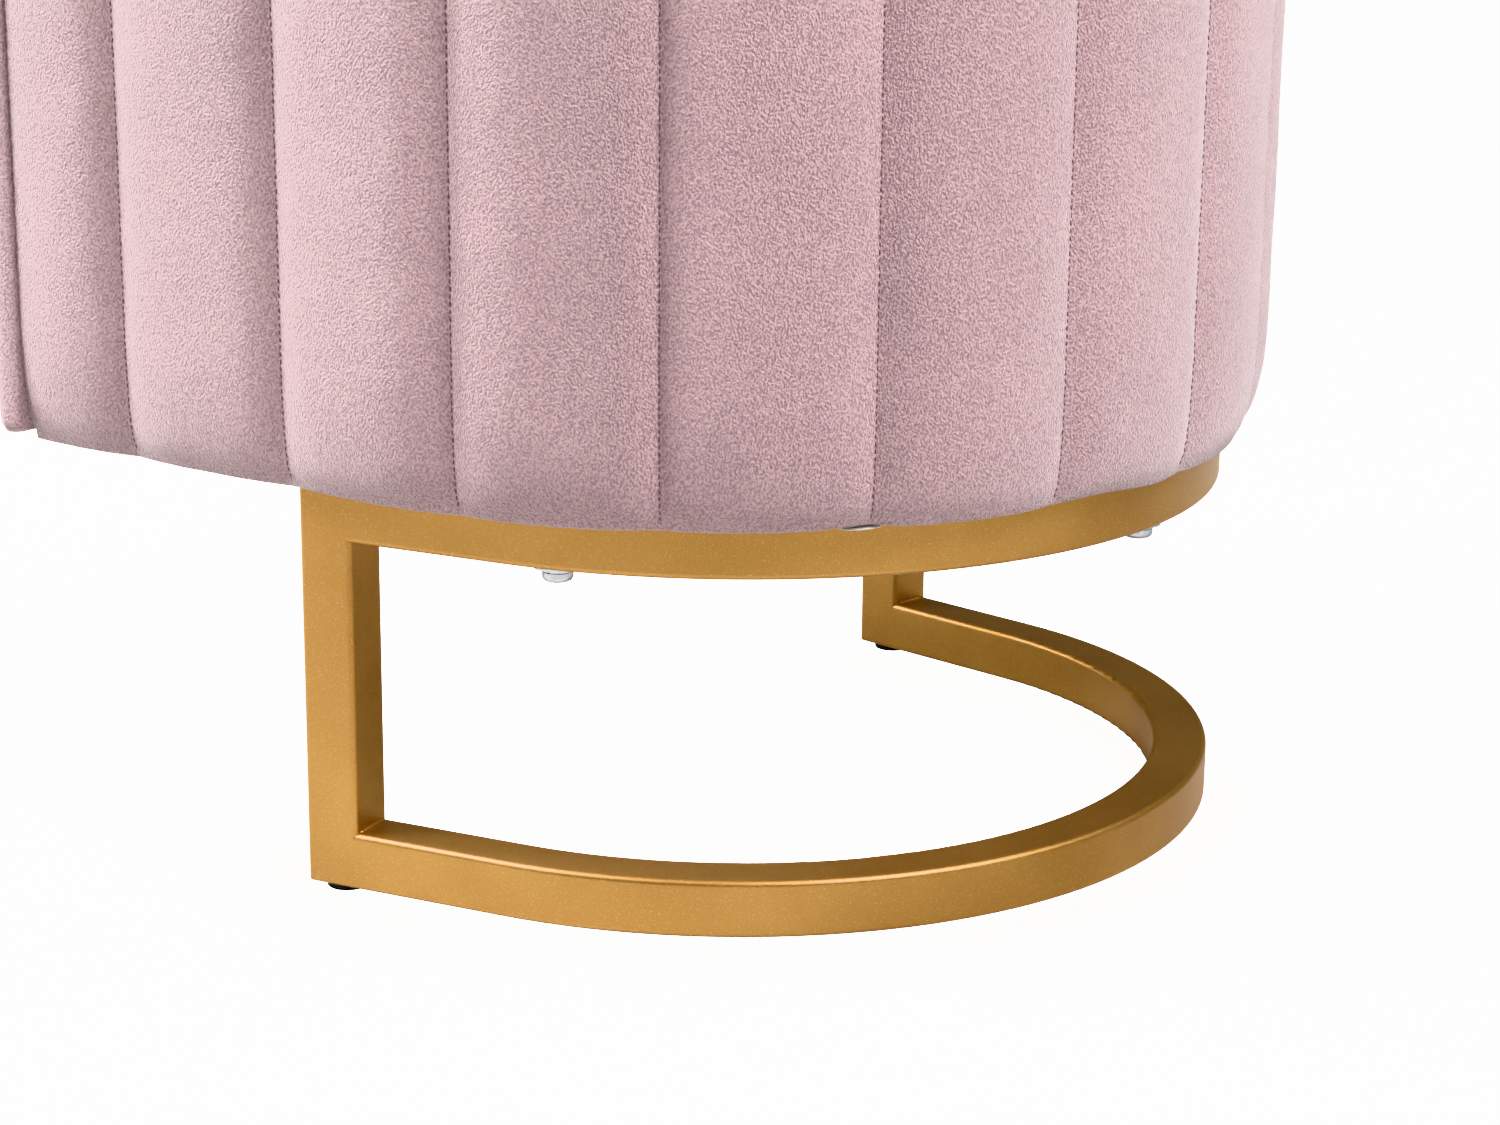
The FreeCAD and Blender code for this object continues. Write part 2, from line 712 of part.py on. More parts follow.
def seat_springs():
    return group([seat_spring(x) for x in SPRING_XS])


def spring_clip(x, y):
    """Flat steel strap over a spring's end bar."""
    half_width, half_length = 7.0, 6.0
    return block(x - half_width, x + half_width, y - half_length, y + half_length, WIRE_TOP, CLIP_TOP)


def spring_clips():
    fronts = [spring_clip(x, spring_front_y()) for x in SPRING_XS]
    backs = [spring_clip(x, spring_back_y(x)) for x in SPRING_XS]
    return group(fronts + backs)


def deck_pad():
    """Felt over the springs."""
    return u_plate(FELT_R, RAIL_FRONT_Y, CLIP_TOP, FELT_TOP)


def deck_foam():
    return u_plate(SEAT_R - DECK_INSET, RAIL_FRONT_Y, FELT_TOP, DECK_TOP)


def deck_cover():
    return u_plate(SEAT_R - DECK_INSET, APRON_FRONT_Y, DECK_TOP, DECK_TOP + DECK_COVER)


def cushion_solid(inset):
    """Loose seat cushion with rounded edges, or its foam when inset by the cover's thickness."""
    z0 = CUSHION_BOTTOM + inset
    z1 = CUSHION_BOTTOM + CUSHION_HEIGHT - inset
    cushion = u_plate(SEAT_R - CUSHION_GAP - inset, CUSHION_FRONT_Y + inset, z0, z1)
    rims = [e for e in cushion.Edges if e.BoundBox.ZLength < 0.1]
    return cushion.makeFillet(CUSHION_EDGE - inset, rims)


def cushion_cover():
    return cushion_solid(0.0).cut(cushion_solid(COVER))


def cushion_foam():
    return cushion_solid(COVER)


def cushion_zip():
    """Closed zip along the back of the cushion."""
    radius = SEAT_R - CUSHION_GAP
    z = CUSHION_BOTTOM + CUSHION_HEIGHT / 2
    z0, z1 = z - ZIP_HALF_WIDTH, z + ZIP_HALF_WIDTH
    band = cylinder(radius + ZIP_THICK, z0, z1).cut(cylinder(radius, z0 - 1, z1 + 1))
    half = radius * math.sin(math.radians(ZIP_HALF_TURN))
    band = band.common(block(-half, half, 0, OUTER_R, z0, z1))
    band.translate(Vector(0, ARC_Y, 0))
    return band


# ---------------------------------------------------------------- write

def nodes():
    """Every sub-part of the chair, by name."""
    post = base_post()
    board = arm_front_board()
    pad = arm_front_pad()
    made = {
        "base_top_ring": base_top_ring(),
        "base_bottom_ring": base_bottom_ring(),
        "base_post_left": mirrored(post),
        "base_post_right": post,
        "foot_nuts": foot_nuts(),
        "mounting_bolts": mounting_bolts(),
        "flat_washers": flat_washers(),
        "spring_washers": spring_washers(),
        "tee_nuts": tee_nuts(),
        "frame_screws": frame_screws(),
        "base_board": base_board(),
        "front_rail": front_rail(),
        "seat_rib": seat_rib(),
        "middle_rib": middle_rib(),
        "top_rib": top_rib(),
        "lower_studs": lower_studs(),
        "upper_studs": upper_studs(),
        "arm_front_board_left": mirrored(board),
        "arm_front_board_right": board,
        "corner_blocks": corner_blocks(),
        "outer_board": outer_board(),
        "inner_board": inner_board(),
        "inner_foam": inner_foam(),
        "outer_channel_panel": outer_channel_panel(),
        "inner_channel_panel": inner_channel_panel(),
        "top_roll": top_roll(),
        "arm_front_pad_left": mirrored(pad),
        "arm_front_pad_right": pad,
        "front_apron": front_apron(),
        "dust_cover": dust_cover(),
        "dust_cover_staples": dust_cover_staples(),
        "seat_springs": seat_springs(),
        "spring_clips": spring_clips(),
        "deck_pad": deck_pad(),
        "deck_foam": deck_foam(),
        "deck_cover": deck_cover(),
        "cushion_cover": cushion_cover(),
        "cushion_foam": cushion_foam(),
        "cushion_zip": cushion_zip(),
    }
    for name, (x, y) in foot_places().items():
        radius = BACK_PAD_RADIUS if name == "back" else PAD_RADIUS
        made["foot_pad_" + name] = foot_pad(radius, x, y)
        made["foot_stem_" + name] = foot_stem(x, y)
    return made


os.makedirs("parts", exist_ok=True)
for node, shape in nodes().items():
    print(node, len(shape.Solids), shape.isValid(), round(shape.Volume / 1000, 1), "cm3")
    shape.exportStep("parts/" + node + ".step")
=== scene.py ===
import math

import bmesh
import bpy
from mathutils import Matrix, Vector, noise
from mathutils.bvhtree import BVHTree
from mathutils.kdtree import KDTree


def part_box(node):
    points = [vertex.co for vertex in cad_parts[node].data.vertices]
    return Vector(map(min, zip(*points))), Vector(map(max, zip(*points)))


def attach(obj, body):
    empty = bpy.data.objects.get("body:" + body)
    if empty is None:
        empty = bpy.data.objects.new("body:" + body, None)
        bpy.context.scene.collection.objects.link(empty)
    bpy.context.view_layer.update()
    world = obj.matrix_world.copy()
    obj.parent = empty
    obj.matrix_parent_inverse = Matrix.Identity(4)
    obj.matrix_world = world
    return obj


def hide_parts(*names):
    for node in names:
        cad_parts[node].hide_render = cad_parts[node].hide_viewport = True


# A barrel chair with a channelled velvet body on a gold tube base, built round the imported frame, in metres.
# +Z is up, the seat faces -Y, the round back points to +Y, and left and right are as seen from the front.

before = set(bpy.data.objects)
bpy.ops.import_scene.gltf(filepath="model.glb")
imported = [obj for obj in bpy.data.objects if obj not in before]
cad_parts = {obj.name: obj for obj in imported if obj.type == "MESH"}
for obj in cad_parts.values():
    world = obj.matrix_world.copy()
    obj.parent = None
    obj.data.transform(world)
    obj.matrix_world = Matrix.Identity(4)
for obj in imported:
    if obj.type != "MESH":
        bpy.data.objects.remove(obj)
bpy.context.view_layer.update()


def low(node):
    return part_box(node)[0]


def high(node):
    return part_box(node)[1]


# ---------- places from the frame

MM = 0.001
OUTER_R = high("outer_channel_panel").x
BOARD_R = high("outer_board").x
FOAM_R = high("inner_foam").x
INNER_QUILT_R = high("inner_channel_panel").x
SEAT_R = low("arm_front_pad_right").x
BASE_BOARD_R = high("base_board").x
WALL = OUTER_R - SEAT_R
ARC_Y = high("outer_channel_panel").y - OUTER_R
FRONT_Y = low("arm_front_pad_right").y
PAD_BACK_Y = high("arm_front_pad_right").y
BODY_BOTTOM = low("outer_channel_panel").z
INNER_BOTTOM = low("inner_channel_panel").z
ARM_TOP = high("arm_front_pad_right").z
BACK_TOP = high("top_roll").z
SLIP = 0.3 * MM
STEP_Z = low("outer_board").z - SLIP
RING_TOP = high("base_top_ring").z
RING_BOTTOM = low("base_bottom_ring").z
TUBE = high("base_bottom_ring").z - RING_BOTTOM

# The body's own shape, as the CAD has it
SLOPE_FRONT_Y = -0.225
SLOPE_BACK_Y = 0.190
EDGE_HEIGHT = 45 * MM
TUCK_HEIGHT = 68 * MM
TUCK_DEPTH = 14 * MM
LEG_TOE_IN = math.radians(9)
FOOT_FROM_END = 15 * MM

# Channels
HEM_POINTS = 4
CHANNEL_TURN = math.radians(20)
PITCH = CHANNEL_TURN * OUTER_R
QUARTER = math.pi / 2 * OUTER_R
WALL_END = QUARTER + ARC_Y - PAD_BACK_Y
SEAM_WALL = 14 * MM
SEAM_BROAD = 3.0 * MM
SEAM_SHARP = 6.2 * MM
END_SEAM_SHARE = 0.5
END_DEEPEST = 6 * MM
STITCH_PERIOD = 3.7 * MM
STITCH_LENGTH = 2.9 * MM
THREAD_RADIUS = 0.42 * MM


def seam_places():
    """Where the seams are round the outside, from the middle of the back, with the wall's two ends."""
    inner = [i * PITCH for i in range(int(WALL_END / PITCH) + 1)]
    places = inner + [WALL_END]
    return [-s for s in reversed(places[1:])] + places


SEAMS = seam_places()


def wall_plan(s, inset):
    """Plan point at s round the outside, inset into the wall, and the outward direction there."""
    radius = OUTER_R - inset
    if abs(s) <= QUARTER:
        turn = s / OUTER_R
        out = Vector((math.sin(turn), math.cos(turn), 0))
        return Vector((0, ARC_Y, 0)) + out * radius, out
    side = math.copysign(1, s)
    return Vector((side * radius, ARC_Y - (abs(s) - QUARTER), 0)), Vector((side, 0, 0))


def top_height(y):
    """Height of the padded top edge: level arms, a smooth rise and a level back."""
    share = (y - SLOPE_FRONT_Y) / (SLOPE_BACK_Y - SLOPE_FRONT_Y)
    share = min(1.0, max(0.0, share))
    return ARM_TOP + (BACK_TOP - ARM_TOP) * share * share * (3 - 2 * share)


def wall_point(s, inset, z):
    """A point of the wall at height z."""
    plan, _ = wall_plan(s, inset)
    return Vector((plan.x, plan.y, z))


def cover_top(s, inset=0):
    """Height of the seam under the padded top edge."""
    plan, _ = wall_plan(s, inset)
    return top_height(plan.y) - EDGE_HEIGHT


def nearest_seam(s):
    """Distance to the nearest seam, and half the width of the channel that s is in."""
    for left, right in zip(SEAMS, SEAMS[1:]):
        if s <= right + 1e-9:
            break
    return min(abs(s - left), abs(right - s)), (right - left) / 2


def channel_inset(s):
    """How far the cloth lies in from its crown: a broad round with a sharp valley at each seam."""
    distance, half = nearest_seam(s)
    broad = (1 - min(1.0, distance / half)) ** 2
    depth = SEAM_BROAD * broad + SEAM_SHARP * math.exp(-((distance / SEAM_WALL) ** 1.25))
    return depth * END_SEAM_SHARE if beside_end(s) else depth


def beside_end(s):
    """Whether the nearest seam is the one where the wall meets an arm's padded front."""
    _, half = nearest_seam(s)
    return WALL_END - abs(s) < half


def unevenness(point, size, height):
    """Slow in-and-out of stuffed cloth."""
    return height * noise.noise(point / size)


# ---------- mesh helpers

def mesh_object(name, mesh_data, material):
    """Makes an object in the scene from a bmesh."""
    mesh = bpy.data.meshes.new(name)
    mesh_data.to_mesh(mesh)
    mesh_data.free()
    mesh.materials.append(material)
    made = bpy.data.objects.new(name, mesh)
    bpy.context.scene.collection.objects.link(made)
    return made


def set_smooth(piece, smooth=True):
    for face in piece.data.polygons:
        face.use_smooth = smooth


def finish_mesh(name, mesh_data, material, body="root", smooth=True):
    """Makes an object from a bmesh, with outward faces, and lets it ride on a body."""
    bmesh.ops.recalc_face_normals(mesh_data, faces=mesh_data.faces)
    made = mesh_object(name, mesh_data, material)
    set_smooth(made, smooth)
    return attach(made, body)


def declare_pad(node):
    """Hides the CAD node that a padded piece stands for."""
    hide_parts(node)


def add_loops(mesh_data, loops, capped=True):
    """Joins closed rows of points with quads, and may cap the first and the last."""
    rows = [[mesh_data.verts.new(p) for p in loop] for loop in loops]
    count = len(rows[0])
    for row, following in zip(rows, rows[1:]):
        for j in range(count):
            k = (j + 1) % count
            mesh_data.faces.new((row[j], row[k], following[k], following[j]))
    if capped:
        mesh_data.faces.new(rows[0])
        mesh_data.faces.new(rows[-1])
    return rows


def swept(name, loops, material):
    mesh_data = bmesh.new()
    add_loops(mesh_data, loops)
    return finish_mesh(name, mesh_data, material)


ROUND_SIDES = 10
THREAD_SIDES = 5


def round_section(middle, across, up, radius, sides=ROUND_SIDES):
    turns = [2 * math.pi * k / sides for k in range(sides)]
    return [middle + (across * math.cos(turn) + up * math.sin(turn)) * radius for turn in turns]


def add_tube(mesh_data, path, radius):
    """A round cord along a closed path of points."""
    loops = []
    count = len(path)
    for i, point in enumerate(path):
        along = (path[(i + 1) % count] - path[i - 1]).normalized()
        across = along.cross(Vector((0, 0, 1))).normalized()
        up = across.cross(along)
        loops.append(round_section(point, across, up, radius))
    rows = add_loops(mesh_data, loops + loops[:1], capped=False)
    bmesh.ops.remove_doubles(mesh_data, verts=rows[0] + rows[-1], dist=1e-6)


def add_thread(mesh_data, start, end, out, radius):
    """One stitch: a short thread that dips into the cloth at both ends."""
    along = (end - start).normalized()
    across = along.cross(out).normalized()
    loops = []
    for share, size in ((0.0, 0.35), (0.18, 0.95), (0.5, 1.0), (0.82, 0.95), (1.0, 0.35)):
        dip = radius * 1.6 * (2 * share - 1) ** 4
        middle = start.lerp(end, share) - out * dip
        loops.append(round_section(middle, across, out, radius * size, THREAD_SIDES))
    add_loops(mesh_data, loops)


def stitched(name, paths):
    """Stitches along paths. A path is its length and a function from distance to a point and its normal."""
    mesh_data = bmesh.new()
    for place, length in paths:
        for i in range(int(length / STITCH_PERIOD)):
            start, out = place(i * STITCH_PERIOD)
            end, _ = place(i * STITCH_PERIOD + STITCH_LENGTH)
            add_thread(mesh_data, start, end, out, THREAD_RADIUS)
    finish_mesh(name, mesh_data, THREAD)


def spread(start, end, count):
    """Evenly spaced values from start to end."""
    return [start + (end - start) * i / (count - 1) for i in range(count)]


def stations(steps=22):
    """Places round the wall, closer together beside the seams."""
    places = [SEAMS[0]]
    for left, right in zip(SEAMS, SEAMS[1:]):
        for i in range(1, steps + 1):
            places.append(left + (right - left) * (0.5 - 0.5 * math.cos(math.pi * i / steps)))
    return places


def bend(x, y, radius, start):
    """A quarter of a circle round (x, y), anticlockwise from the start angle in degrees."""
    turns = [math.radians(start + 22.5 * i) for i in range(5)]
    return [Vector((x + radius * math.cos(turn), y + radius * math.sin(turn))) for turn in turns]


def pillow(name, outline, spine, rings, place, material):
    """A padded form: an outline that shrinks towards its spine ring by ring, up to a crowned front."""
    mesh_data = bmesh.new()
    loops = []
    for share, height in rings:
        loops.append([place(p.lerp(spine(p), share), height) for p in outline])
    add_loops(mesh_data, loops, capped=False)
    mesh_data.verts.ensure_lookup_table()
    mesh_data.faces.new(mesh_data.verts[: len(outline)])
    bmesh.ops.remove_doubles(mesh_data, verts=mesh_data.verts, dist=1e-5)
    bmesh.ops.dissolve_degenerate(mesh_data, edges=mesh_data.edges, dist=1e-6)
    return finish_mesh(name, mesh_data, material)


def round_rings(thickness, edge, half_width, crown, seam_inset=0.0, seam_reach=6 * MM):
    """Rings of a pillow: up the side with a pulled-in seam, round the edge, and over a crowned face."""
    rings = []
    side_steps = 6
    for h in spread(0.0, thickness - edge, side_steps):
        rings.append((seam_inset * math.exp(-h / seam_reach), h))
    for turn in spread(0.0, math.pi / 2, 7)[1:]:
        rings.append((edge * (1 - math.cos(turn)), thickness - edge + edge * math.sin(turn) - crown))
    face_steps = 12
    for inset in spread(edge, half_width, face_steps)[1:]:
        share = (inset - edge) / (half_width - edge)
        rings.append((inset, thickness - crown * (1 - share) ** 2))
    return [(min(1.0, inset / half_width), h) for inset, h in rings]


# ---------- material helpers

def new_material(name):
    made = bpy.data.materials.new(name)
    made.use_nodes = True
    tree = made.node_tree
    return made, tree, tree.nodes["Principled BSDF"]


def feed(tree, socket, value):
    """Sets an input, or links another node's output to it."""
    if isinstance(value, bpy.types.NodeSocket):
        tree.links.new(value, socket)
    else:
        socket.default_value = value


def add_node(tree, kind, inputs=None, **settings):
    """A node with its settings, and each input either a value or another node's output."""
    made = tree.nodes.new(kind)
    for key, value in settings.items():
        setattr(made, key, value)
    for key, value in (inputs or {}).items():
        feed(tree, made.inputs[key], value)
    return made


def set_shader(tree, shader, **inputs):
    for key, value in inputs.items():
        feed(tree, shader.inputs[key.replace("_", " ")], value)


def object_place(tree, stretch=(1, 1, 1), turn=(0, 0, 0)):
    place = add_node(tree, "ShaderNodeTexCoord").outputs["Object"]
    inputs = {"Vector": place, "Scale": stretch, "Rotation": turn}
    return add_node(tree, "ShaderNodeMapping", inputs).outputs[0]


def noise_value(tree, size, detail=3.0, rough=0.55, stretch=(1, 1, 1), turn=(0, 0, 0)):
    """Noise whose features are about size metres across."""
    place = object_place(tree, stretch, turn)
    inputs = {"Vector": place, "Scale": 1 / size, "Detail": detail, "Roughness": rough}
    return add_node(tree, "ShaderNodeTexNoise", inputs).outputs["Fac"]


def cell_noise(tree, size):
    """Random cells about size metres across."""
    return add_node(tree, "ShaderNodeTexVoronoi", {"Vector": object_place(tree), "Scale": 1 / size})


def calculated(tree, operation, first, second):
    return add_node(tree, "ShaderNodeMath", {0: first, 1: second}, operation=operation).outputs[0]


def ramp(tree, value, stops):
    """Colour from a value, through (place, colour) stops."""
    made = add_node(tree, "ShaderNodeValToRGB", {"Fac": value})
    elements = made.color_ramp.elements
    elements[0].position, elements[0].color = stops[0][0], (*stops[0][1], 1)
    elements[1].position, elements[1].color = stops[-1][0], (*stops[-1][1], 1)
    for position, colour in stops[1:-1]:
        elements.new(position).color = (*colour, 1)
    return made.outputs["Color"]


def mapped(tree, value, out_low, out_high, in_low=0.0, in_high=1.0):
    inputs = {"Value": value, "From Min": in_low, "From Max": in_high, "To Min": out_low,
              "To Max": out_high}
    return add_node(tree, "ShaderNodeMapRange", inputs).outputs["Result"]


def blended(tree, share, first, second, mode="MIX"):
    made = add_node(tree, "ShaderNodeMix", data_type="RGBA", blend_type=mode)
    for key, value in (("Factor", share), ("A", first), ("B", second)):
        feed(tree, next(s for s in made.inputs if s.name == key and s.enabled), value)
    return next(s for s in made.outputs if s.enabled)


def bumped(tree, height, distance, strength=1.0, normal=None):
    inputs = {"Height": height, "Distance": distance, "Strength": strength}
    if normal is not None:
        inputs["Normal"] = normal
    return add_node(tree, "ShaderNodeBump", inputs).outputs["Normal"]


def darker(colour, share):
    return tuple(c * share for c in colour)


# ---------- materials

PINK = (0.460, 0.292, 0.304)


def velvet(name, colour):
    """Short-pile velvet: a crepe-like nap grain, painted lighter and whiter on its raised spots and darker in
    its hollows (partly the nap's own tone, partly painted sheen and shade), brushed patches, and a strong
    sheen at grazing angles.
    """
    made, tree, shader = new_material(name)
    grain = noise_value(tree, 1.1 * MM, detail=2.0, stretch=(1, 1, 0.8), turn=(0.5, 0.4, 0.3))
    fine = noise_value(tree, 0.5 * MM, detail=1.0)
    patches = noise_value(tree, 70 * MM, detail=3.0, stretch=(1, 1, 0.45))
    base = ramp(tree, patches, [(0.3, darker(colour, 0.90)), (0.7, darker(colour, 1.06))])
    # Grain colour: lighter and whiter where the grain bump rises, darker where it dips; partly the nap's own
    # tone, partly painted sheen and painted shade.
    grain_tone_and_sheen = ramp(tree, grain, [(0.38, (0.68, 0.65, 0.67)), (0.60, (1.18, 1.21, 1.21))])
    colour_out = blended(tree, 1.0, base, grain_tone_and_sheen, "MULTIPLY")
    normal = bumped(tree, fine, 0.25 * MM, 0.5, bumped(tree, grain, 1.8 * MM))
    rough = mapped(tree, patches, 0.47, 0.58)
    set_shader(tree, shader, Base_Color=colour_out, Roughness=rough, Normal=normal,
               Sheen_Weight=0.80, Sheen_Roughness=0.28, Sheen_Tint=(1.0, 0.96, 0.97, 1.0),
               Specular_IOR_Level=0.80)
    return made


def thread(name, colour):
    """Twisted sewing thread."""
    made, tree, shader = new_material(name)
    twist = noise_value(tree, 0.3 * MM, detail=1.0, stretch=(1, 1, 0.4))
    base = ramp(tree, twist, [(0.3, darker(colour, 0.7)), (0.7, colour)])
    set_shader(tree, shader, Base_Color=base, Roughness=0.6, Normal=bumped(tree, twist, 0.1 * MM, 0.5))
    return made


GOLD_DEEP = (0.44, 0.238, 0.078)
GOLD_WARM = (0.53, 0.300, 0.102)
GOLD_FLAKE = (0.80, 0.56, 0.24)


def gold_powder(name):
    """Gold powder coat: metallic flakes under a soft satin gloss, with a faint orange peel."""
    made, tree, shader = new_material(name)
    cells = cell_noise(tree, 0.28 * MM)
    flake = add_node(tree, "ShaderNodeSeparateColor", {"Color": cells.outputs["Color"]})
    cloud = noise_value(tree, 90 * MM, detail=2.0)
    base = ramp(tree, cloud, [(0.3, GOLD_DEEP), (0.72, GOLD_WARM)])
    shade = ramp(tree, flake.outputs[0], [(0.0, (0.90, 0.90, 0.90)), (1.0, (1.08, 1.08, 1.08))])
    base = blended(tree, 1.0, base, shade, "MULTIPLY")
    spark = mapped(tree, flake.outputs[1], 0.0, 0.8, 0.965, 0.99)
    base = blended(tree, spark, base, (*GOLD_FLAKE, 1.0))
    peel = noise_value(tree, 1.6 * MM, detail=1.0)
    normal = bumped(tree, peel, 0.12 * MM, 0.35)
    normal = bumped(tree, flake.outputs[2], 0.03 * MM, 0.5, normal)
    rough = mapped(tree, flake.outputs[0], 0.34, 0.48)
    set_shader(tree, shader, Base_Color=base, Roughness=rough, Metallic=0.95, Normal=normal,
               Coat_Weight=0.06, Coat_Roughness=0.28)
    return made


def zinc(name, colour=(0.62, 0.63, 0.65)):
    """Bright zinc plate with fine turning marks and a slight bloom."""
    made, tree, shader = new_material(name)
    marks = noise_value(tree, 0.5 * MM, detail=2.0, stretch=(1, 1, 8))
    bloom = noise_value(tree, 6 * MM, detail=4.0)
    base = ramp(tree, bloom, [(0.35, darker(colour, 0.72)), (0.65, colour)])
    set_shader(tree, shader, Base_Color=base, Metallic=1.0, Roughness=mapped(tree, bloom, 0.18, 0.36),
               Normal=bumped(tree, marks, 0.05 * MM, 0.3))
    return made


def wood(name, light, dark, grain_turn=(0, 0, 0)):
    """Planed softwood: long grain, growth bands and fine pores."""
    made, tree, shader = new_material(name)
    bands = noise_value(tree, 14 * MM, detail=4.0, stretch=(1, 0.07, 1), turn=grain_turn)
    pores = noise_value(tree, 1.2 * MM, detail=2.0, stretch=(1, 0.04, 1), turn=grain_turn)
    base = ramp(tree, bands, [(0.32, dark), (0.5, light), (0.7, darker(light, 0.86))])
    pits = ramp(tree, pores, [(0.35, (0.7, 0.66, 0.6)), (0.6, (1, 1, 1))])
    base = blended(tree, 0.5, base, pits, "MULTIPLY")
    set_shader(tree, shader, Base_Color=base, Roughness=mapped(tree, pores, 0.55, 0.75),
               Normal=bumped(tree, pores, 0.15 * MM, 0.4))
    return made


def plywood(name):
    """Plywood: veneer faces, with alternate light and dark layers that show on the edges."""
    made, tree, shader = new_material(name)
    layer = 3 * MM
    place = add_node(tree, "ShaderNodeSeparateXYZ", {"Vector": object_place(tree)}).outputs["Z"]
    wave = calculated(tree, "PINGPONG", calculated(tree, "MULTIPLY", place, 1 / layer), 0.5)
    grain = noise_value(tree, 9 * MM, detail=4.0, stretch=(1, 0.08, 1))
    layers = ramp(tree, wave, [(0.22, (0.50, 0.33, 0.18)), (0.28, (0.72, 0.55, 0.36))])
    veneer = ramp(tree, grain, [(0.35, (0.60, 0.43, 0.26)), (0.65, (0.78, 0.62, 0.43))])
    base = blended(tree, 0.5, layers, veneer)
    set_shader(tree, shader, Base_Color=base, Roughness=mapped(tree, grain, 0.6, 0.78),
               Normal=bumped(tree, grain, 0.2 * MM, 0.4))
    return made


def pressed_board(name):
    """Brown hardboard: pressed fibres, smooth to the touch."""
    made, tree, shader = new_material(name)
    fibres = noise_value(tree, 1.8 * MM, detail=4.0, stretch=(1, 1, 0.5))
    cloud = noise_value(tree, 60 * MM, detail=3.0)
    base = ramp(tree, fibres, [(0.35, (0.24, 0.14, 0.075)), (0.65, (0.40, 0.26, 0.15))])
    tint = ramp(tree, cloud, [(0.3, (0.28, 0.17, 0.09)), (0.7, (0.42, 0.28, 0.17))])
    base = blended(tree, 0.35, base, tint)
    set_shader(tree, shader, Base_Color=base, Roughness=mapped(tree, fibres, 0.5, 0.7),
               Normal=bumped(tree, fibres, 0.15 * MM, 0.3))
    return made


def foam(name, colour):
    """Open-cell foam, yellowing a little in places."""
    made, tree, shader = new_material(name)
    cells = cell_noise(tree, 1.1 * MM)
    cloud = noise_value(tree, 50 * MM)
    base = ramp(tree, cloud, [(0.3, darker(colour, 0.86)), (0.7, colour)])
    pits = ramp(tree, cells.outputs["Distance"], [(0.1, (0.72, 0.70, 0.66)), (0.5, (1, 1, 1))])
    set_shader(tree, shader, Base_Color=blended(tree, 1.0, base, pits, "MULTIPLY"), Roughness=0.9,
               Normal=bumped(tree, cells.outputs["Distance"], 0.5 * MM, 0.6), Specular_IOR_Level=0.2)
    return made


def felt(name):
    """Grey needle felt with coloured waste fibres."""
    made, tree, shader = new_material(name)
    hairs = noise_value(tree, 2.2 * MM, detail=5.0, rough=0.75)
    flecks = noise_value(tree, 3.5 * MM, detail=3.0)
    base = ramp(tree, hairs, [(0.35, (0.17, 0.17, 0.18)), (0.65, (0.44, 0.43, 0.42))])
    grey, blue, red = (0.35, 0.34, 0.34), (0.20, 0.26, 0.42), (0.45, 0.20, 0.16)
    tints = ramp(tree, flecks, [(0.56, grey), (0.64, blue), (0.72, red)])
    set_shader(tree, shader, Base_Color=blended(tree, 0.3, base, tints), Roughness=0.95,
               Normal=bumped(tree, hairs, 0.8 * MM, 0.7), Specular_IOR_Level=0.15)
    return made


def woven(name, colour, thread_size):
    """Plain woven lining: crossing threads, slubs and soft creases."""
    made, tree, shader = new_material(name)
    inputs = {"Vector": object_place(tree), "Scale": 0.16 / thread_size, "Distortion": 1.2}
    across, along = [add_node(tree, "ShaderNodeTexWave", inputs, bands_direction=axis).outputs["Fac"]
                     for axis in "XY"]
    weave = calculated(tree, "MULTIPLY", across, along)
    slubs = noise_value(tree, 5 * MM, detail=4.0, stretch=(0.15, 1, 1))
    base = ramp(tree, weave, [(0.0, darker(colour, 0.72)), (0.6, colour)])
    shade = ramp(tree, slubs, [(0.35, (0.86, 0.85, 0.84)), (0.65, (1, 1, 1))])
    normal = bumped(tree, weave, 0.2 * MM, 0.5)
    set_shader(tree, shader, Base_Color=blended(tree, 1.0, base, shade, "MULTIPLY"), Roughness=0.85,
               Normal=normal, Sheen_Weight=0.15, Sheen_Roughness=0.5)
    return made


def moulded_plastic(name, colour):
    """Spark-textured moulding with rubbed, dusty high spots."""
    made, tree, shader = new_material(name)
    texture = noise_value(tree, 0.5 * MM, detail=2.0)
    rub = noise_value(tree, 6 * MM, detail=4.0)
    base = ramp(tree, rub, [(0.42, colour), (0.72, tuple(c * 2.2 + 0.01 for c in colour))])
    set_shader(tree, shader, Base_Color=base, Roughness=mapped(tree, rub, 0.38, 0.6),
               Normal=bumped(tree, texture, 0.12 * MM, 0.5))
    return made


VELVET = velvet("pink_velvet", PINK)
THREAD = thread("seam_thread", (0.22, 0.10, 0.12))
GOLD = gold_powder("gold_powder_coat")
WELD = gold_powder("gold_weld")
ZINC = zinc("zinc_plate")
SPRING_STEEL = zinc("spring_steel", (0.30, 0.30, 0.32))
SOFTWOOD = wood("softwood", (0.76, 0.58, 0.38), (0.56, 0.37, 0.20))
STUDWOOD = wood("upright_softwood", (0.74, 0.56, 0.36), (0.54, 0.36, 0.19), (math.pi / 2, 0, 0))
PLYWOOD = plywood("plywood")
BOARD = pressed_board("panel_board")
FOAM = foam("seat_foam", (0.86, 0.80, 0.62))
FELT = felt("grey_felt")
LINING = woven("pale_lining", (0.80, 0.76, 0.70), 0.5 * MM)
DECK_CLOTH = woven("deck_cloth", (0.62, 0.40, 0.42), 0.45 * MM)
PLASTIC = moulded_plastic("black_plastic", (0.012, 0.012, 0.013))
ZIP_CLOTH = woven("zip_tape", (0.55, 0.33, 0.36), 0.35 * MM)
ZIP_METAL = zinc("zip_teeth", (0.55, 0.42, 0.22))


# ---------- CAD nodes keep their shape, with a finish

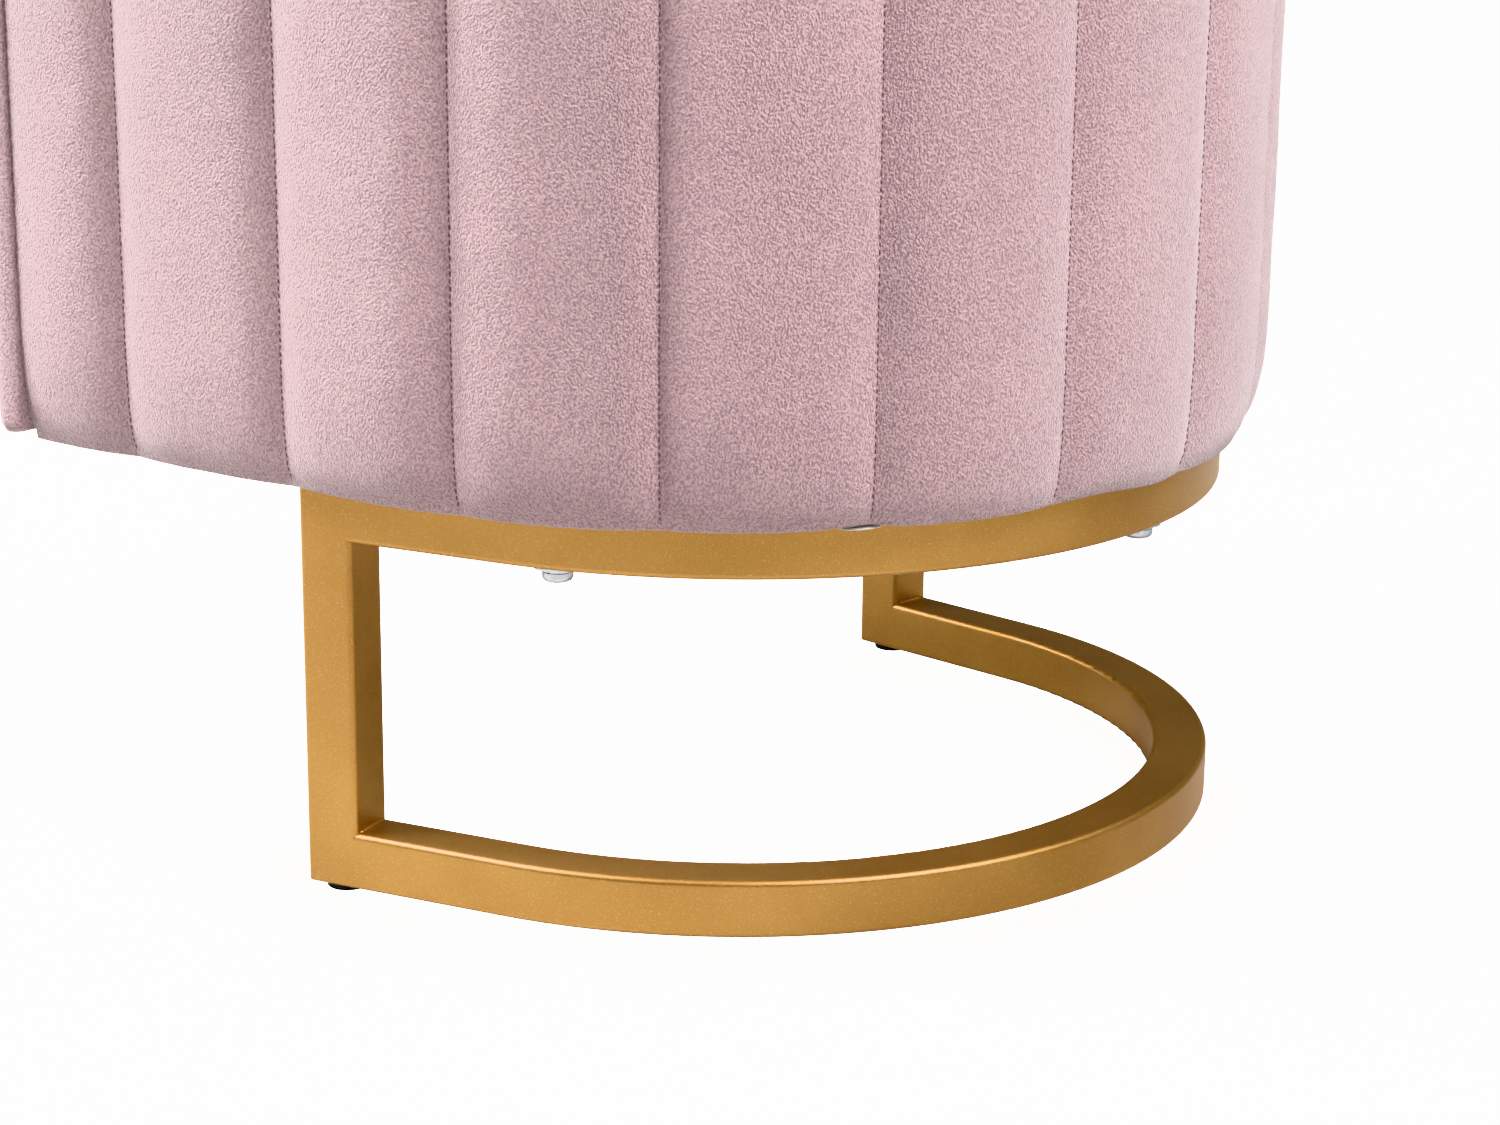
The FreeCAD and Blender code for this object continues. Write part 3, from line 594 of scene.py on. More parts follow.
def dress_frame():
    """Gives every CAD node that stays in view its detailed material."""
    finishes = {
        GOLD: ["base_top_ring", "base_bottom_ring", "base_post_left", "base_post_right"],
        ZINC: ["mounting_bolts", "flat_washers", "spring_washers", "tee_nuts", "frame_screws",
               "foot_nuts", "foot_stem_left", "foot_stem_right", "foot_stem_back",
               "dust_cover_staples", "spring_clips"],
        SPRING_STEEL: ["seat_springs"],
        PLASTIC: ["foot_pad_left", "foot_pad_right", "foot_pad_back"],
        PLYWOOD: ["base_board", "seat_rib", "middle_rib", "top_rib"],
        SOFTWOOD: ["front_rail", "corner_blocks"],
        STUDWOOD: ["lower_studs", "upper_studs", "arm_front_board_left", "arm_front_board_right"],
        BOARD: ["outer_board", "inner_board"],
    }
    for material, names in finishes.items():
        for name in names:
            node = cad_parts[name]
            for slot in node.material_slots:
                slot.material = material


# ---------- the quilted wall

def seam_draw(distance):
    """How far cloth is drawn in beside a sewn edge that is this far away."""
    return 6 * MM * math.exp(-distance / (6 * MM))


def bell(value, middle, reach, power=2):
    """1 at the middle, falling to nothing past the reach."""
    return math.exp(-(((value - middle) / reach) ** power))


def hem_drop(s):
    """How far the outer cover's lower edge hangs below the body: tight at the back, looser beside it."""
    turn = math.degrees(s / OUTER_R)
    tight = bell(turn, 14, 6) + bell(turn, -22, 14) + 0.6 * bell(turn, 41, 3)
    waver = noise.noise(Vector((s / (9 * MM), 0, 0)))
    return 0.8 * MM + 2.6 * MM * (1 - min(1.0, tight)) + 0.3 * MM * waver


def outer_profile(s):
    """The outer cover's outside from its top seam down to its hem, as (inset, height)."""
    top = cover_top(s)
    tuck_top = BODY_BOTTOM + TUCK_HEIGHT
    points = [(seam_draw(top - z), z) for z in spread(top, tuck_top, 150)]
    for turn in spread(0, math.pi / 2, 26)[1:]:
        height = TUCK_HEIGHT * math.sin(turn)
        points.append((TUCK_DEPTH * (1 - math.cos(turn)) ** 1.15, tuck_top - height))
    return points


def outer_point(s, inset, z):
    """A point of the outer cover's outside, channels and unevenness included."""
    tuck = max(0.0, (BODY_BOTTOM + TUCK_HEIGHT - z) / TUCK_HEIGHT)
    depth = channel_inset(s) * (1 - 0.55 * tuck ** 3)
    if beside_end(s) and not tuck:
        inset = min(inset, END_DEEPEST - depth)
    plan, out = wall_plan(s, inset + depth)
    point = Vector((plan.x, plan.y, z))
    distance, _ = nearest_seam(s)
    slack = min(1.0, distance / (25 * MM))
    puff = unevenness(point, 85 * MM, 1.1 * MM) * slack + unevenness(point, 28 * MM, 0.35 * MM)
    pucker = 0.3 * MM * math.sin(math.pi * z / STITCH_PERIOD) * math.exp(-distance / (3 * MM))
    return point - out * (abs(puff) + pucker)


def outer_loop(s):
    """The outer cover's closed section at s."""
    loop = [outer_point(s, inset, z) for inset, z in outer_profile(s)]
    for point in loop[-HEM_POINTS:]:
        point.z -= hem_drop(s)
    bottom_inset = OUTER_R - BASE_BOARD_R
    board_inset = OUTER_R - BOARD_R - SLIP
    return loop + [wall_point(s, bottom_inset, BODY_BOTTOM + 0.2 * MM), wall_point(s, bottom_inset, STEP_Z),
                   wall_point(s, board_inset, STEP_Z), wall_point(s, board_inset, cover_top(s))]


def make_outer_panel():
    panel = swept("outer_channel_cover", [outer_loop(s) for s in stations()], VELVET)
    declare_pad("outer_channel_panel")


def outer_seam_path(s):
    """The stitched valley of an outer seam, from the hem up."""
    points = [outer_point(s, inset, z) for inset, z in reversed(outer_profile(s))]
    return path_along(points, wall_plan(s, 0)[1])


def path_along(points, out):
    """A function of distance along points, and the whole length."""
    lengths = [0.0]
    for a, b in zip(points, points[1:]):
        lengths.append(lengths[-1] + (b - a).length)

    def place(distance):
        for i in range(1, len(lengths)):
            if distance <= lengths[i]:
                break
        share = (distance - lengths[i - 1]) / max(1e-9, lengths[i] - lengths[i - 1])
        return points[i - 1].lerp(points[i], share) + out * (0.25 * MM), out

    return place, lengths[-1]


def make_outer_stitches():
    stitched("outer_seam_stitches", [outer_seam_path(s) for s in SEAMS[1:-1]])


def inner_point(s, inset, z):
    """A point of the inner cover's seat side; inset here is counted back from the seat side."""
    depth = 0.8 * channel_inset(s)
    plan, out = wall_plan(s, WALL - inset - depth)
    point = Vector((plan.x, plan.y, z))
    distance, _ = nearest_seam(s)
    slack = min(1.0, distance / (25 * MM))
    puff = unevenness(point + Vector((3, 1, 2)), 80 * MM, 1.0 * MM) * slack
    return point + out * abs(puff)


def inner_heights(s):
    return INNER_BOTTOM, cover_top(s, WALL)


def inner_loop(s):
    bottom, top = inner_heights(s)
    loop = [inner_point(s, seam_draw(top - z), z) for z in spread(top, bottom, 120)]
    back = OUTER_R - INNER_QUILT_R + SLIP
    return loop + [wall_point(s, back, bottom), wall_point(s, back, top)]


def make_inner_panel():
    panel = swept("inner_channel_cover", [inner_loop(s) for s in stations(18)], VELVET)
    declare_pad("inner_channel_panel")


def make_inner_stitches():
    paths = []
    for s in SEAMS[1:-1]:
        bottom, top = inner_heights(s)
        points = [inner_point(s, seam_draw(top - z), z) for z in spread(bottom, top, 60)]
        paths.append(path_along(points, -wall_plan(s, 0)[1]))
    stitched("inner_seam_stitches", paths)


def make_inner_foam():
    """The foam sheet behind the inner cover, softened at its top edge."""
    bottom = low("inner_foam").z
    inner = OUTER_R - INNER_QUILT_R
    outer = OUTER_R - FOAM_R
    middle = (inner + outer) / 2
    half = (inner - outer) / 2 - 0.4 * MM
    loops = []
    for s in stations(8)[1:-1]:
        shoulder = cover_top(s, middle) - half
        section = []
        for turn in spread(0, math.pi, 13):
            section.append((middle + half * math.cos(turn), shoulder + half * math.sin(turn)))
        section += [(middle - half, z) for z in spread(shoulder, bottom, 20)[1:]]
        section += [(middle + half, z) for z in spread(bottom, shoulder, 20)[:-1]]
        loops.append([wall_point(s, inset, z) for inset, z in section])
    pad = swept("inner_foam_sheet", loops, FOAM)
    declare_pad("inner_foam")


# ---------- padded edges

ROLL_POWER = 2.3
ROLL_LIFT = 10 * MM


def roll_outline():
    """Half-round top of the wall as (share of the wall from outside to inside, share of the height)."""
    points = []
    for turn in spread(0, math.pi, 41):
        across = 0.5 - 0.5 * math.copysign(abs(math.cos(turn)) ** (2 / ROLL_POWER), math.cos(turn))
        points.append((across, math.sin(turn) ** (2 / ROLL_POWER) if turn < math.pi else 0.0))
    return points


def roll_loop(s):
    """Section of the padded top band at s: straight sides below, a round top above."""
    loop = []
    distance, _ = nearest_seam(s)
    round_height = EDGE_HEIGHT - ROLL_LIFT
    sides = spread(0.0, ROLL_LIFT, 8)[:-1]
    outline = [(0.0, h) for h in sides]
    outline += [(across, ROLL_LIFT + high_share * round_height) for across, high_share in roll_outline()]
    outline += [(1.0, h) for h in reversed(sides)]
    for across, height in outline:
        gather = 1.2 * MM * math.exp(-((distance / (9 * MM)) ** 2)) * math.exp(-height / (14 * MM))
        draw = seam_draw(height) + gather
        inset = across * WALL + (draw if across < 0.5 else -draw)
        plan, _ = wall_plan(s, inset)
        z = top_height(plan.y) - EDGE_HEIGHT + height
        point = Vector((plan.x, plan.y, z))
        point.z -= abs(unevenness(point, 60 * MM, 1.0 * MM)) * (height / EDGE_HEIGHT)
        loop.append(point)
    return loop


def make_top_roll():
    roll = swept("top_band", [roll_loop(s) for s in stations(12)], VELVET)
    declare_pad("top_roll")


def arm_outline():
    """Front view of the right arm's padded front, from its bottom outer corner round the top, as (x, z)."""
    round_height = EDGE_HEIGHT - ROLL_LIFT
    shoulder = ARM_TOP - round_height
    corner = 6 * MM
    sides = spread(BODY_BOTTOM + corner, shoulder, 70)[:-1]
    points = [Vector((OUTER_R, z)) for z in sides]
    for across, high_share in roll_outline():
        points.append(Vector((OUTER_R - across * WALL, shoulder + high_share * round_height)))
    points += [Vector((SEAT_R, z)) for z in reversed(sides)]
    points += bend(SEAT_R + corner, BODY_BOTTOM + corner, corner, 180)[1:]
    points += [Vector((x, BODY_BOTTOM)) for x in spread(SEAT_R + corner, OUTER_R - corner, 12)[1:]]
    return points + bend(OUTER_R - corner, BODY_BOTTOM + corner, corner, 270)[1:-1]


def make_facing(name, node, side, outline, spine, rings, swell_size, swell):
    """A padded facing: a flat back, and an outline as seen from the front."""
    back = high(node).y
    depth = back - low(node).y

    def place(p, h):
        point = Vector((side * p.x, back - h, p.y))
        return point + Vector((0, abs(unevenness(point, swell_size, swell) * (h / depth)), 0))

    pad = pillow(name, outline, spine, rings, place, VELVET)
    declare_pad(node)


def make_arm_front(name, side):
    """Padded facing of one arm, crowned across its front."""
    half = WALL / 2
    middle = (OUTER_R + SEAT_R) / 2

    def spine(p):
        return Vector((middle, min(max(p.y, BODY_BOTTOM + half), ARM_TOP - half)))

    rings = round_rings(PAD_BACK_Y - FRONT_Y, 15 * MM, half, 1.5 * MM, seam_inset=3 * MM)
    make_facing(name + "_cover", name, side, arm_outline(), spine, rings, 55 * MM, 0.9 * MM)


def rectangle_outline(x0, x1, z0, z1, corner, step):
    """A rounded rectangle, anticlockwise from its lower left corner."""
    centres = [(x0 + corner, z0 + corner, 180), (x1 - corner, z0 + corner, 270),
               (x1 - corner, z1 - corner, 0), (x0 + corner, z1 - corner, 90)]
    bends = [bend(x, z, corner, start) for x, z, start in centres]
    points = []
    for turned, following in zip(bends, bends[1:] + bends[:1]):
        points += turned
        run = (following[0] - turned[-1]).length
        count = max(2, int(run / step))
        points += [turned[-1].lerp(following[0], i / count) for i in range(1, count)]
    return points


def make_apron():
    """Padded velvet front below the cushion."""
    x1 = SEAT_R - 0.5 * MM
    z0, z1 = low("front_apron").z, high("front_apron").z
    thickness = high("front_apron").y - low("front_apron").y
    half = (z1 - z0) / 2

    def spine(p):
        return Vector((min(max(p.x, -x1 + half), x1 - half), (z0 + z1) / 2))

    outline = rectangle_outline(-x1, x1, z0, z1, 5 * MM, 6 * MM)
    rings = round_rings(thickness, 9 * MM, half, 2.5 * MM)
    make_facing("front_apron_cover", "front_apron", 1, outline, spine, rings, 70 * MM, 1.2 * MM)


# ---------- plates with a round back

def u_outline(radius, front_y, corner=12 * MM, step=6 * MM):
    """A half-round back, straight sides and a straight front with rounded corners, as (x, y)."""
    points = []
    turns = max(16, int(math.pi * radius / step))
    for i in range(turns + 1):
        turn = math.pi * i / turns
        points.append(Vector((radius * math.cos(turn), ARC_Y + radius * math.sin(turn))))
    straight = ARC_Y - front_y - corner
    sides = max(3, int(straight / step))
    left = [Vector((-radius, ARC_Y - straight * i / sides)) for i in range(1, sides)]
    left += bend(corner - radius, front_y + corner, corner, 180)
    width = 2 * (radius - corner)
    fronts = int(width / step)
    front = [Vector((corner - radius + width * i / fronts, front_y)) for i in range(1, fronts)]
    return points + left + front + [Vector((-p.x, p.y)) for p in reversed(left)]


def u_spine(radius, front_y):
    def spine(p):
        return Vector((0, min(max(p.y, front_y + radius), ARC_Y)))
    return spine


def make_u_pad(name, node, edge, crown, material):
    """A pad with a round back that fills a CAD node's plan and height."""
    z0, z1 = low(node).z, high(node).z
    radius, front_y = high(node).x, low(node).y

    def place(p, h):
        return Vector((p.x, p.y, z0 + h))

    rings = round_rings(z1 - z0, edge, radius, crown)
    pad = pillow(name, u_outline(radius, front_y), u_spine(radius, front_y), rings, place, material)
    declare_pad(node)


def make_deck():
    """Felt and foam over the springs."""
    make_u_pad("deck_felt", "deck_pad", 1.5 * MM, 0.3 * MM, FELT)
    make_u_pad("deck_foam_pad", "deck_foam", 6 * MM, 1.5 * MM, FOAM)


SHEET_THICKNESS = 0.5 * MM
SHEET_LIP = 0.015


def make_u_sheet(name, node, radius, height, edge, material):
    """A thin sheet with a round back over the piece under it.

    height gives its level at a point, and edge how far it stops short there and how far it turns down.
    """
    front_y = low(node).y
    outline = u_outline(radius, front_y)
    spine = u_spine(radius, front_y)
    shares = spread(0.0, 1.0, 34)[1:]
    loops = []
    for share in reversed(shares):
        loop = []
        for p in outline:
            short, drop = edge(p)
            at = spine(p).lerp(p, share * (1 - short / radius))
            turned_down = max(0.0, (share - (1 - SHEET_LIP)) / SHEET_LIP)
            loop.append(Vector((at.x, at.y, height(at) - drop * turned_down)))
        loops.append(loop)
    mesh_data = bmesh.new()
    underside = [[p - Vector((0, 0, SHEET_THICKNESS)) for p in loop] for loop in reversed(loops)]
    add_loops(mesh_data, underside + loops)
    sheet = finish_mesh(name, mesh_data, material)
    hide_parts(node)


def lining_edge(p):
    """How far the lining stops short, and hangs down where its cut edge shows past the velvet."""
    turn = math.degrees(math.atan2(p.x, p.y - ARC_Y))
    shown = bell(turn, 41, 3.5, power=4) + bell(turn, -24, 15, power=4)
    fray = 0.75 + 0.25 * (1 + noise.noise(Vector((turn * 1.3, 0, 0))))
    return 18 * MM * (1 - shown), 3.4 * MM * shown * fray


def whole_edge(_):
    """A sheet's edge that reaches its full width and lies flat."""
    return 0.0, 0.0


def make_dust_cover():
    """Lining stapled under the body, with a slight sag between the staples and a frayed edge."""
    radius = BASE_BOARD_R + 4 * MM
    level = high("dust_cover").z - 0.2 * MM

    def height(at):
        edge = 1 - min(1.0, math.hypot(at.x, max(0.0, at.y - ARC_Y)) / (radius * 0.75))
        sag = 3.0 * MM * edge ** 0.7 if edge > 0 else 0.0
        return level - sag - 0.2 * MM * abs(noise.noise(at.to_3d() / (30 * MM)))

    make_u_sheet("dust_cover_cloth", "dust_cover", radius, height, lining_edge, LINING)


def make_deck_cover():
    """Cloth drawn over the deck foam, slightly dished by the cushion."""
    radius = high("deck_cover").x
    level = high("deck_cover").z - 0.1 * MM

    def height(at):
        return level - 0.3 * MM * abs(noise.noise(at.to_3d() / (45 * MM)))

    make_u_sheet("deck_cover_cloth", "deck_cover", radius, height, whole_edge, DECK_CLOTH)


# ---------- the loose cushion

CUSHION_START = 9 * MM
CUSHION_SWELL = 24 * MM
CUSHION_VOXEL = 5 * MM
CUSHION_FRAMES = 20
CUSHION_SUNK = 5 * MM
CUSHION_CROWN = 6 * MM
CUSHION_FLATNESS = 0.02
WELT_RADIUS = 2.6 * MM


def cushion_block():
    """The cushion before it is stuffed: a plain upright block, a little smaller than its space."""
    lo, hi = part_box("cushion_cover")
    radius = hi.x - CUSHION_START
    outline = u_outline(radius, lo.y + CUSHION_START, corner=28 * MM)
    mesh_data = bmesh.new()
    z0, z1 = lo.z + CUSHION_START * 0.6, hi.z - CUSHION_START * 1.5
    add_loops(mesh_data, [[p.to_3d() + Vector((0, 0, z)) for p in outline] for z in spread(z0, z1, 12)])
    return finish_mesh("seat_cushion", mesh_data, VELVET, "cushion")


def apply_modifiers(piece):
    """Replaces the piece's mesh with its evaluated one."""
    graph = bpy.context.evaluated_depsgraph_get()
    mesh = bpy.data.meshes.new_from_object(piece.evaluated_get(graph))
    piece.modifiers.clear()
    piece.data = mesh


def modified(piece, kind, **settings):
    """Applies one modifier with these settings to the piece."""
    modifier = piece.modifiers.new(kind.lower(), kind)
    for key, value in settings.items():
        setattr(modifier, key, value)
    apply_modifiers(piece)


def stuff(piece):
    """Blows the cover up like a stuffed case with Blender's cloth, and limits how far a point may move."""
    start = [v.co.copy() for v in piece.data.vertices]
    cloth = piece.modifiers.new("stuffing", "CLOTH")
    cloth.settings.use_pressure = True
    cloth.settings.uniform_pressure_force = 4.0
    cloth.settings.tension_stiffness = 18
    cloth.settings.compression_stiffness = 18
    cloth.settings.bending_stiffness = 0.6
    cloth.settings.effector_weights.gravity = 0.0
    cloth.point_cache.frame_start = 1
    cloth.point_cache.frame_end = CUSHION_FRAMES
    scene = bpy.context.scene
    for number in range(1, CUSHION_FRAMES + 1):
        scene.frame_set(number)
    apply_modifiers(piece)
    scene.frame_set(1)
    for vertex, before in zip(piece.data.vertices, start):
        moved = vertex.co - before
        if moved.length > CUSHION_SWELL:
            vertex.co = before + moved.normalized() * CUSHION_SWELL


def fit_cushion(piece):
    """Keeps the stuffed cushion in its space: flat where it rests, and inside the arms."""
    lo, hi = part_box("cushion_cover")
    points = [v.co.copy() for v in piece.data.vertices]
    start = Vector([min(p[axis] for p in points) for axis in range(3)])
    end = Vector([max(p[axis] for p in points) for axis in range(3)])
    scale_x = (hi.x - lo.x) / (end.x - start.x)
    scale_y = (hi.y - lo.y) / (end.y - start.y)
    scale_z = (hi.z + CUSHION_CROWN - lo.z + CUSHION_SUNK) / (end.z - start.z)
    for vertex in piece.data.vertices:
        co = vertex.co
        co.x *= scale_x
        co.y = lo.y + (co.y - start.y) * scale_y
        co.z = lo.z - CUSHION_SUNK + (co.z - start.z) * scale_z
        if co.z < lo.z:
            co.z = lo.z + CUSHION_FLATNESS * (co.z - lo.z)
        plan = Vector((co.x, co.y - ARC_Y)) if co.y > ARC_Y else Vector((co.x, 0))
        if plan.length > hi.x:
            plan *= hi.x / plan.length
            co.x = plan.x
            if co.y > ARC_Y:
                co.y = ARC_Y + plan.y


def surface_tree(piece):
    mesh = piece.data
    return BVHTree.FromPolygons([v.co for v in mesh.vertices], [p.vertices for p in mesh.polygons])


def cushion_seam(piece, z, tilt):
    """Finds the welt's path on the stuffed cushion at about height z, looking in from outside."""
    lo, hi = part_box("cushion_cover")
    tree = surface_tree(piece)
    radius = hi.x
    path = []
    spine = u_spine(radius, lo.y)
    for p in u_outline(radius, lo.y, corner=26 * MM, step=5 * MM):
        inward = (spine(p) - p).normalized().to_3d()
        at = Vector((p.x, p.y, z))
        start = at - inward * (60 * MM) + Vector((0, 0, tilt))
        target = at + inward * (20 * MM)
        hit, _, _, _ = tree.ray_cast(start, (target - start).normalized())
        if hit is not None:
            path.append(hit)
    return path


def push_in(piece, moves):
    for vertex, move in zip(piece.data.vertices, moves):
        vertex.co -= move


def pull_in(piece, paths, depth, reach):
    """Draws the cover in along sewn lines."""
    points = [p for path in paths for p in path]
    tree = KDTree(len(points))
    for i, p in enumerate(points):
        tree.insert(p, i)
    tree.balance()
    moves = []
    for vertex in piece.data.vertices:
        _, _, distance = tree.find(vertex.co)
        moves.append(vertex.normal * (depth * math.exp(-((distance / reach) ** 2))))
    push_in(piece, moves)


def wrinkled(piece, height, size):
    """Low soft wrinkles over the whole cover."""
    moves = [v.normal * abs(unevenness(v.co, size, height)) for v in piece.data.vertices]
    push_in(piece, moves)


def make_cushion():
    lo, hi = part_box("cushion_cover")
    cushion = cushion_block()
    modified(cushion, "REMESH", mode="VOXEL", voxel_size=CUSHION_VOXEL)
    stuff(cushion)
    fit_cushion(cushion)
    modified(cushion, "SUBSURF", levels=1, render_levels=1)
    upper = cushion_seam(cushion, hi.z - 18 * MM, 30 * MM)
    lower = cushion_seam(cushion, lo.z + 16 * MM, -14 * MM)
    pull_in(cushion, [upper, lower], 2.5 * MM, 6 * MM)
    wrinkled(cushion, 1.2 * MM, 60 * MM)
    set_smooth(cushion)
    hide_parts("cushion_cover", "cushion_foam")
    mesh_data = bmesh.new()
    for path in (upper, lower):
        add_tube(mesh_data, path, WELT_RADIUS)
    welt = finish_mesh("seat_cushion_welt", mesh_data, VELVET, "cushion")
    make_zip(cushion)


TOOTH_PITCH = 2.4 * MM
TOOTH_SIZE = (1.1, 0.9, 2.4)
TOOTH_SIDE = 0.5
SLIDER_SHARE = 0.93


def make_zip(cushion):
    """Closed zip round the back of the cushion: tape, teeth, slider and pull."""
    lo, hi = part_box("cushion_zip")
    z = (lo.z + hi.z) / 2
    radius = hi.y - ARC_Y
    half_turn = math.asin(hi.x / radius)
    tree = surface_tree(cushion)

    def at(turn, lift, rise):
        out = Vector((math.sin(turn), math.cos(turn), 0))
        start = Vector((0, ARC_Y, z + rise)) + out * (radius + 50 * MM)
        hit, _, _, _ = tree.ray_cast(start, -out)
        return hit + out * lift

    mesh_data = bmesh.new()
    tape = hi.z - lo.z
    section = [(0.0, -tape / 2), (0.7 * MM, -tape / 2 + 0.4 * MM), (0.9 * MM, 0.0),
               (0.7 * MM, tape / 2 - 0.4 * MM), (0.0, tape / 2), (-0.8 * MM, 0.0)]
    rows = []
    for turn in spread(-half_turn, half_turn, 90):
        rows.append([at(turn, lift, rise) for lift, rise in section])
    add_loops(mesh_data, rows)
    band = finish_mesh("cushion_zip_tape", mesh_data, ZIP_CLOTH, "cushion")
    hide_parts("cushion_zip")

    teeth = bmesh.new()
    pitch = TOOTH_PITCH / radius
    count = int(2 * half_turn / pitch)
    for i in range(count):
        turn = -half_turn + (i + 0.5) * pitch
        side = 1 if i % 2 else -1
        centre = at(turn, 1.3 * MM, side * TOOTH_SIDE * MM)
        add_block(teeth, centre, turn, (0, 0, side * TOOTH_SIDE), TOOTH_SIZE)
    slider_turn = half_turn * SLIDER_SHARE
    add_slider(teeth, at(slider_turn, 2.0 * MM, 0.0), slider_turn)
    metal = finish_mesh("cushion_zip_teeth", teeth, ZIP_METAL, "cushion", smooth=False)


def add_block(mesh_data, centre, turn, offset, size):
    """A block of a size and offset in mm, turned about the upright through its centre."""
    made = bmesh.ops.create_cube(mesh_data, size=1.0)["verts"]
    turned = Matrix.Translation(centre) @ Matrix.Rotation(-turn, 4, "Z")
    shift = Matrix.Translation([c * MM for c in offset])
    scale = Matrix.Diagonal((*[c * MM for c in size], 1.0))
    bmesh.ops.transform(mesh_data, matrix=turned @ shift @ scale, verts=made)
    return made


def add_slider(mesh_data, centre, turn):
    """The slider's body and the pull that hangs from it."""
    body = ((0, 0, 0), (7.0, 2.6, 6.0))
    bridge = ((0, 1.5, 0), (4.0, 1.4, 2.4))
    pull = ((0, 1.7, -7.0), (3.6, 0.9, 12.0))
    for offset, size in (body, bridge, pull):
        made = add_block(mesh_data, centre, turn, offset, size)
        edges = {e for v in made for e in v.link_edges}
        bmesh.ops.bevel(mesh_data, geom=list(edges), offset=0.35 * MM, segments=2, affect="EDGES")


# ---------- the base's welds

def leg_frame(side):
    """Foot centre of a post, the direction back along its leg and the direction across it."""
    name = "foot_stem_right" if side > 0 else "foot_stem_left"
    lo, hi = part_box(name)
    foot = Vector(((lo.x + hi.x) / 2, (lo.y + hi.y) / 2, 0))
    back = Vector((-side * math.sin(LEG_TOE_IN), math.cos(LEG_TOE_IN), 0))
    across = Vector((side * math.cos(LEG_TOE_IN), math.sin(LEG_TOE_IN), 0))
    return foot, back, across


def add_bead(mesh_data, start, end, radius, toward):
    """A weld bead: a rounded, rippled fillet along an inside corner."""
    steps = 44
    loops = []
    along = (end - start).normalized()
    across = along.cross(toward).normalized()
    for i in range(steps + 1):
        share = i / steps
        chance = noise.noise(Vector((share * 6, start.z * 40, 0)))
        ripple = 1 + 0.14 * math.sin(share * 2 * math.pi * 9) + 0.12 * chance
        taper = min(1.0, 6 * min(share, 1 - share) + 0.25)
        loops.append(round_section(start.lerp(end, share), across, toward, radius * ripple * taper))
    add_loops(mesh_data, loops)


def make_welds():
    """Ground welds in the inside corners between the posts and the rings."""
    mesh_data = bmesh.new()
    reach = TUBE / 2 - 3.2 * MM
    for side in (1, -1):
        foot, back, across = leg_frame(side)
        corner = foot + back * (TUBE - FOOT_FROM_END)
        for z, up in ((RING_TOP - TUBE, -1), (RING_BOTTOM + TUBE, 1)):
            toward = (back + Vector((0, 0, up))).normalized()
            middle = Vector((corner.x, corner.y, z)) + toward * (0.1 * MM)
            add_bead(mesh_data, middle - across * reach, middle + across * reach, 1.3 * MM, toward)
    beads = finish_mesh("base_weld_beads", mesh_data, WELD)


# ---------- studio

SURROUND = 4.0
HORIZON_LIGHT = 0.10
ZENITH_LIGHT = 0.22
FLOOR_SIZE = 30
FLOOR_IN_REFLECTIONS = 0.44
LIGHTS_AIM = (0, 0, 0.35)
CAMERA_PLACE = Vector((1.4679, 1.0030, 0.6107))
CAMERA_YAW = math.radians(214.34)
CAMERA_PITCH = math.radians(-15.25)
CAMERA_ROLL = math.radians(0.55)
CAMERA_LENS = 78.57
CAMERA_SENSOR = 36.0


def make_floor():
    made, tree, shader = new_material("studio_floor")
    tone = noise_value(tree, 0.5, detail=2.0)
    base = ramp(tree, tone, [(0.3, (0.90, 0.90, 0.90)), (0.7, (0.93, 0.93, 0.93))])
    seen = add_node(tree, "ShaderNodeLightPath").outputs["Is Camera Ray"]
    base = blended(tree, seen, (*[FLOOR_IN_REFLECTIONS] * 3, 1), base)
    set_shader(tree, shader, Base_Color=base, Roughness=0.9, Specular_IOR_Level=0.0,
               Emission_Color=(1.0, 1.0, 1.0, 1.0), Emission_Strength=mapped(tree, seen, 0.0, SURROUND))
    mesh_data = bmesh.new()
    bmesh.ops.create_grid(mesh_data, x_segments=1, y_segments=1, size=FLOOR_SIZE)
    floor = mesh_object("floor", mesh_data, made)


def make_world():
    world = bpy.data.worlds.new("studio")
    bpy.context.scene.world = world
    world.use_nodes = True
    tree = world.node_tree
    seen = add_node(tree, "ShaderNodeLightPath").outputs["Is Camera Ray"]
    upward = add_node(tree, "ShaderNodeSeparateXYZ", {"Vector": object_place(tree)}).outputs["Z"]
    glow = mapped(tree, upward, HORIZON_LIGHT, ZENITH_LIGHT, 0.05, 0.7)
    strength = add_node(tree, "ShaderNodeMix", {"Factor": seen, "A": glow, "B": SURROUND}).outputs[0]
    sky = tree.nodes["Background"]
    sky.inputs["Color"].default_value = (1.0, 1.0, 1.0, 1.0)
    tree.links.new(strength, sky.inputs["Strength"])


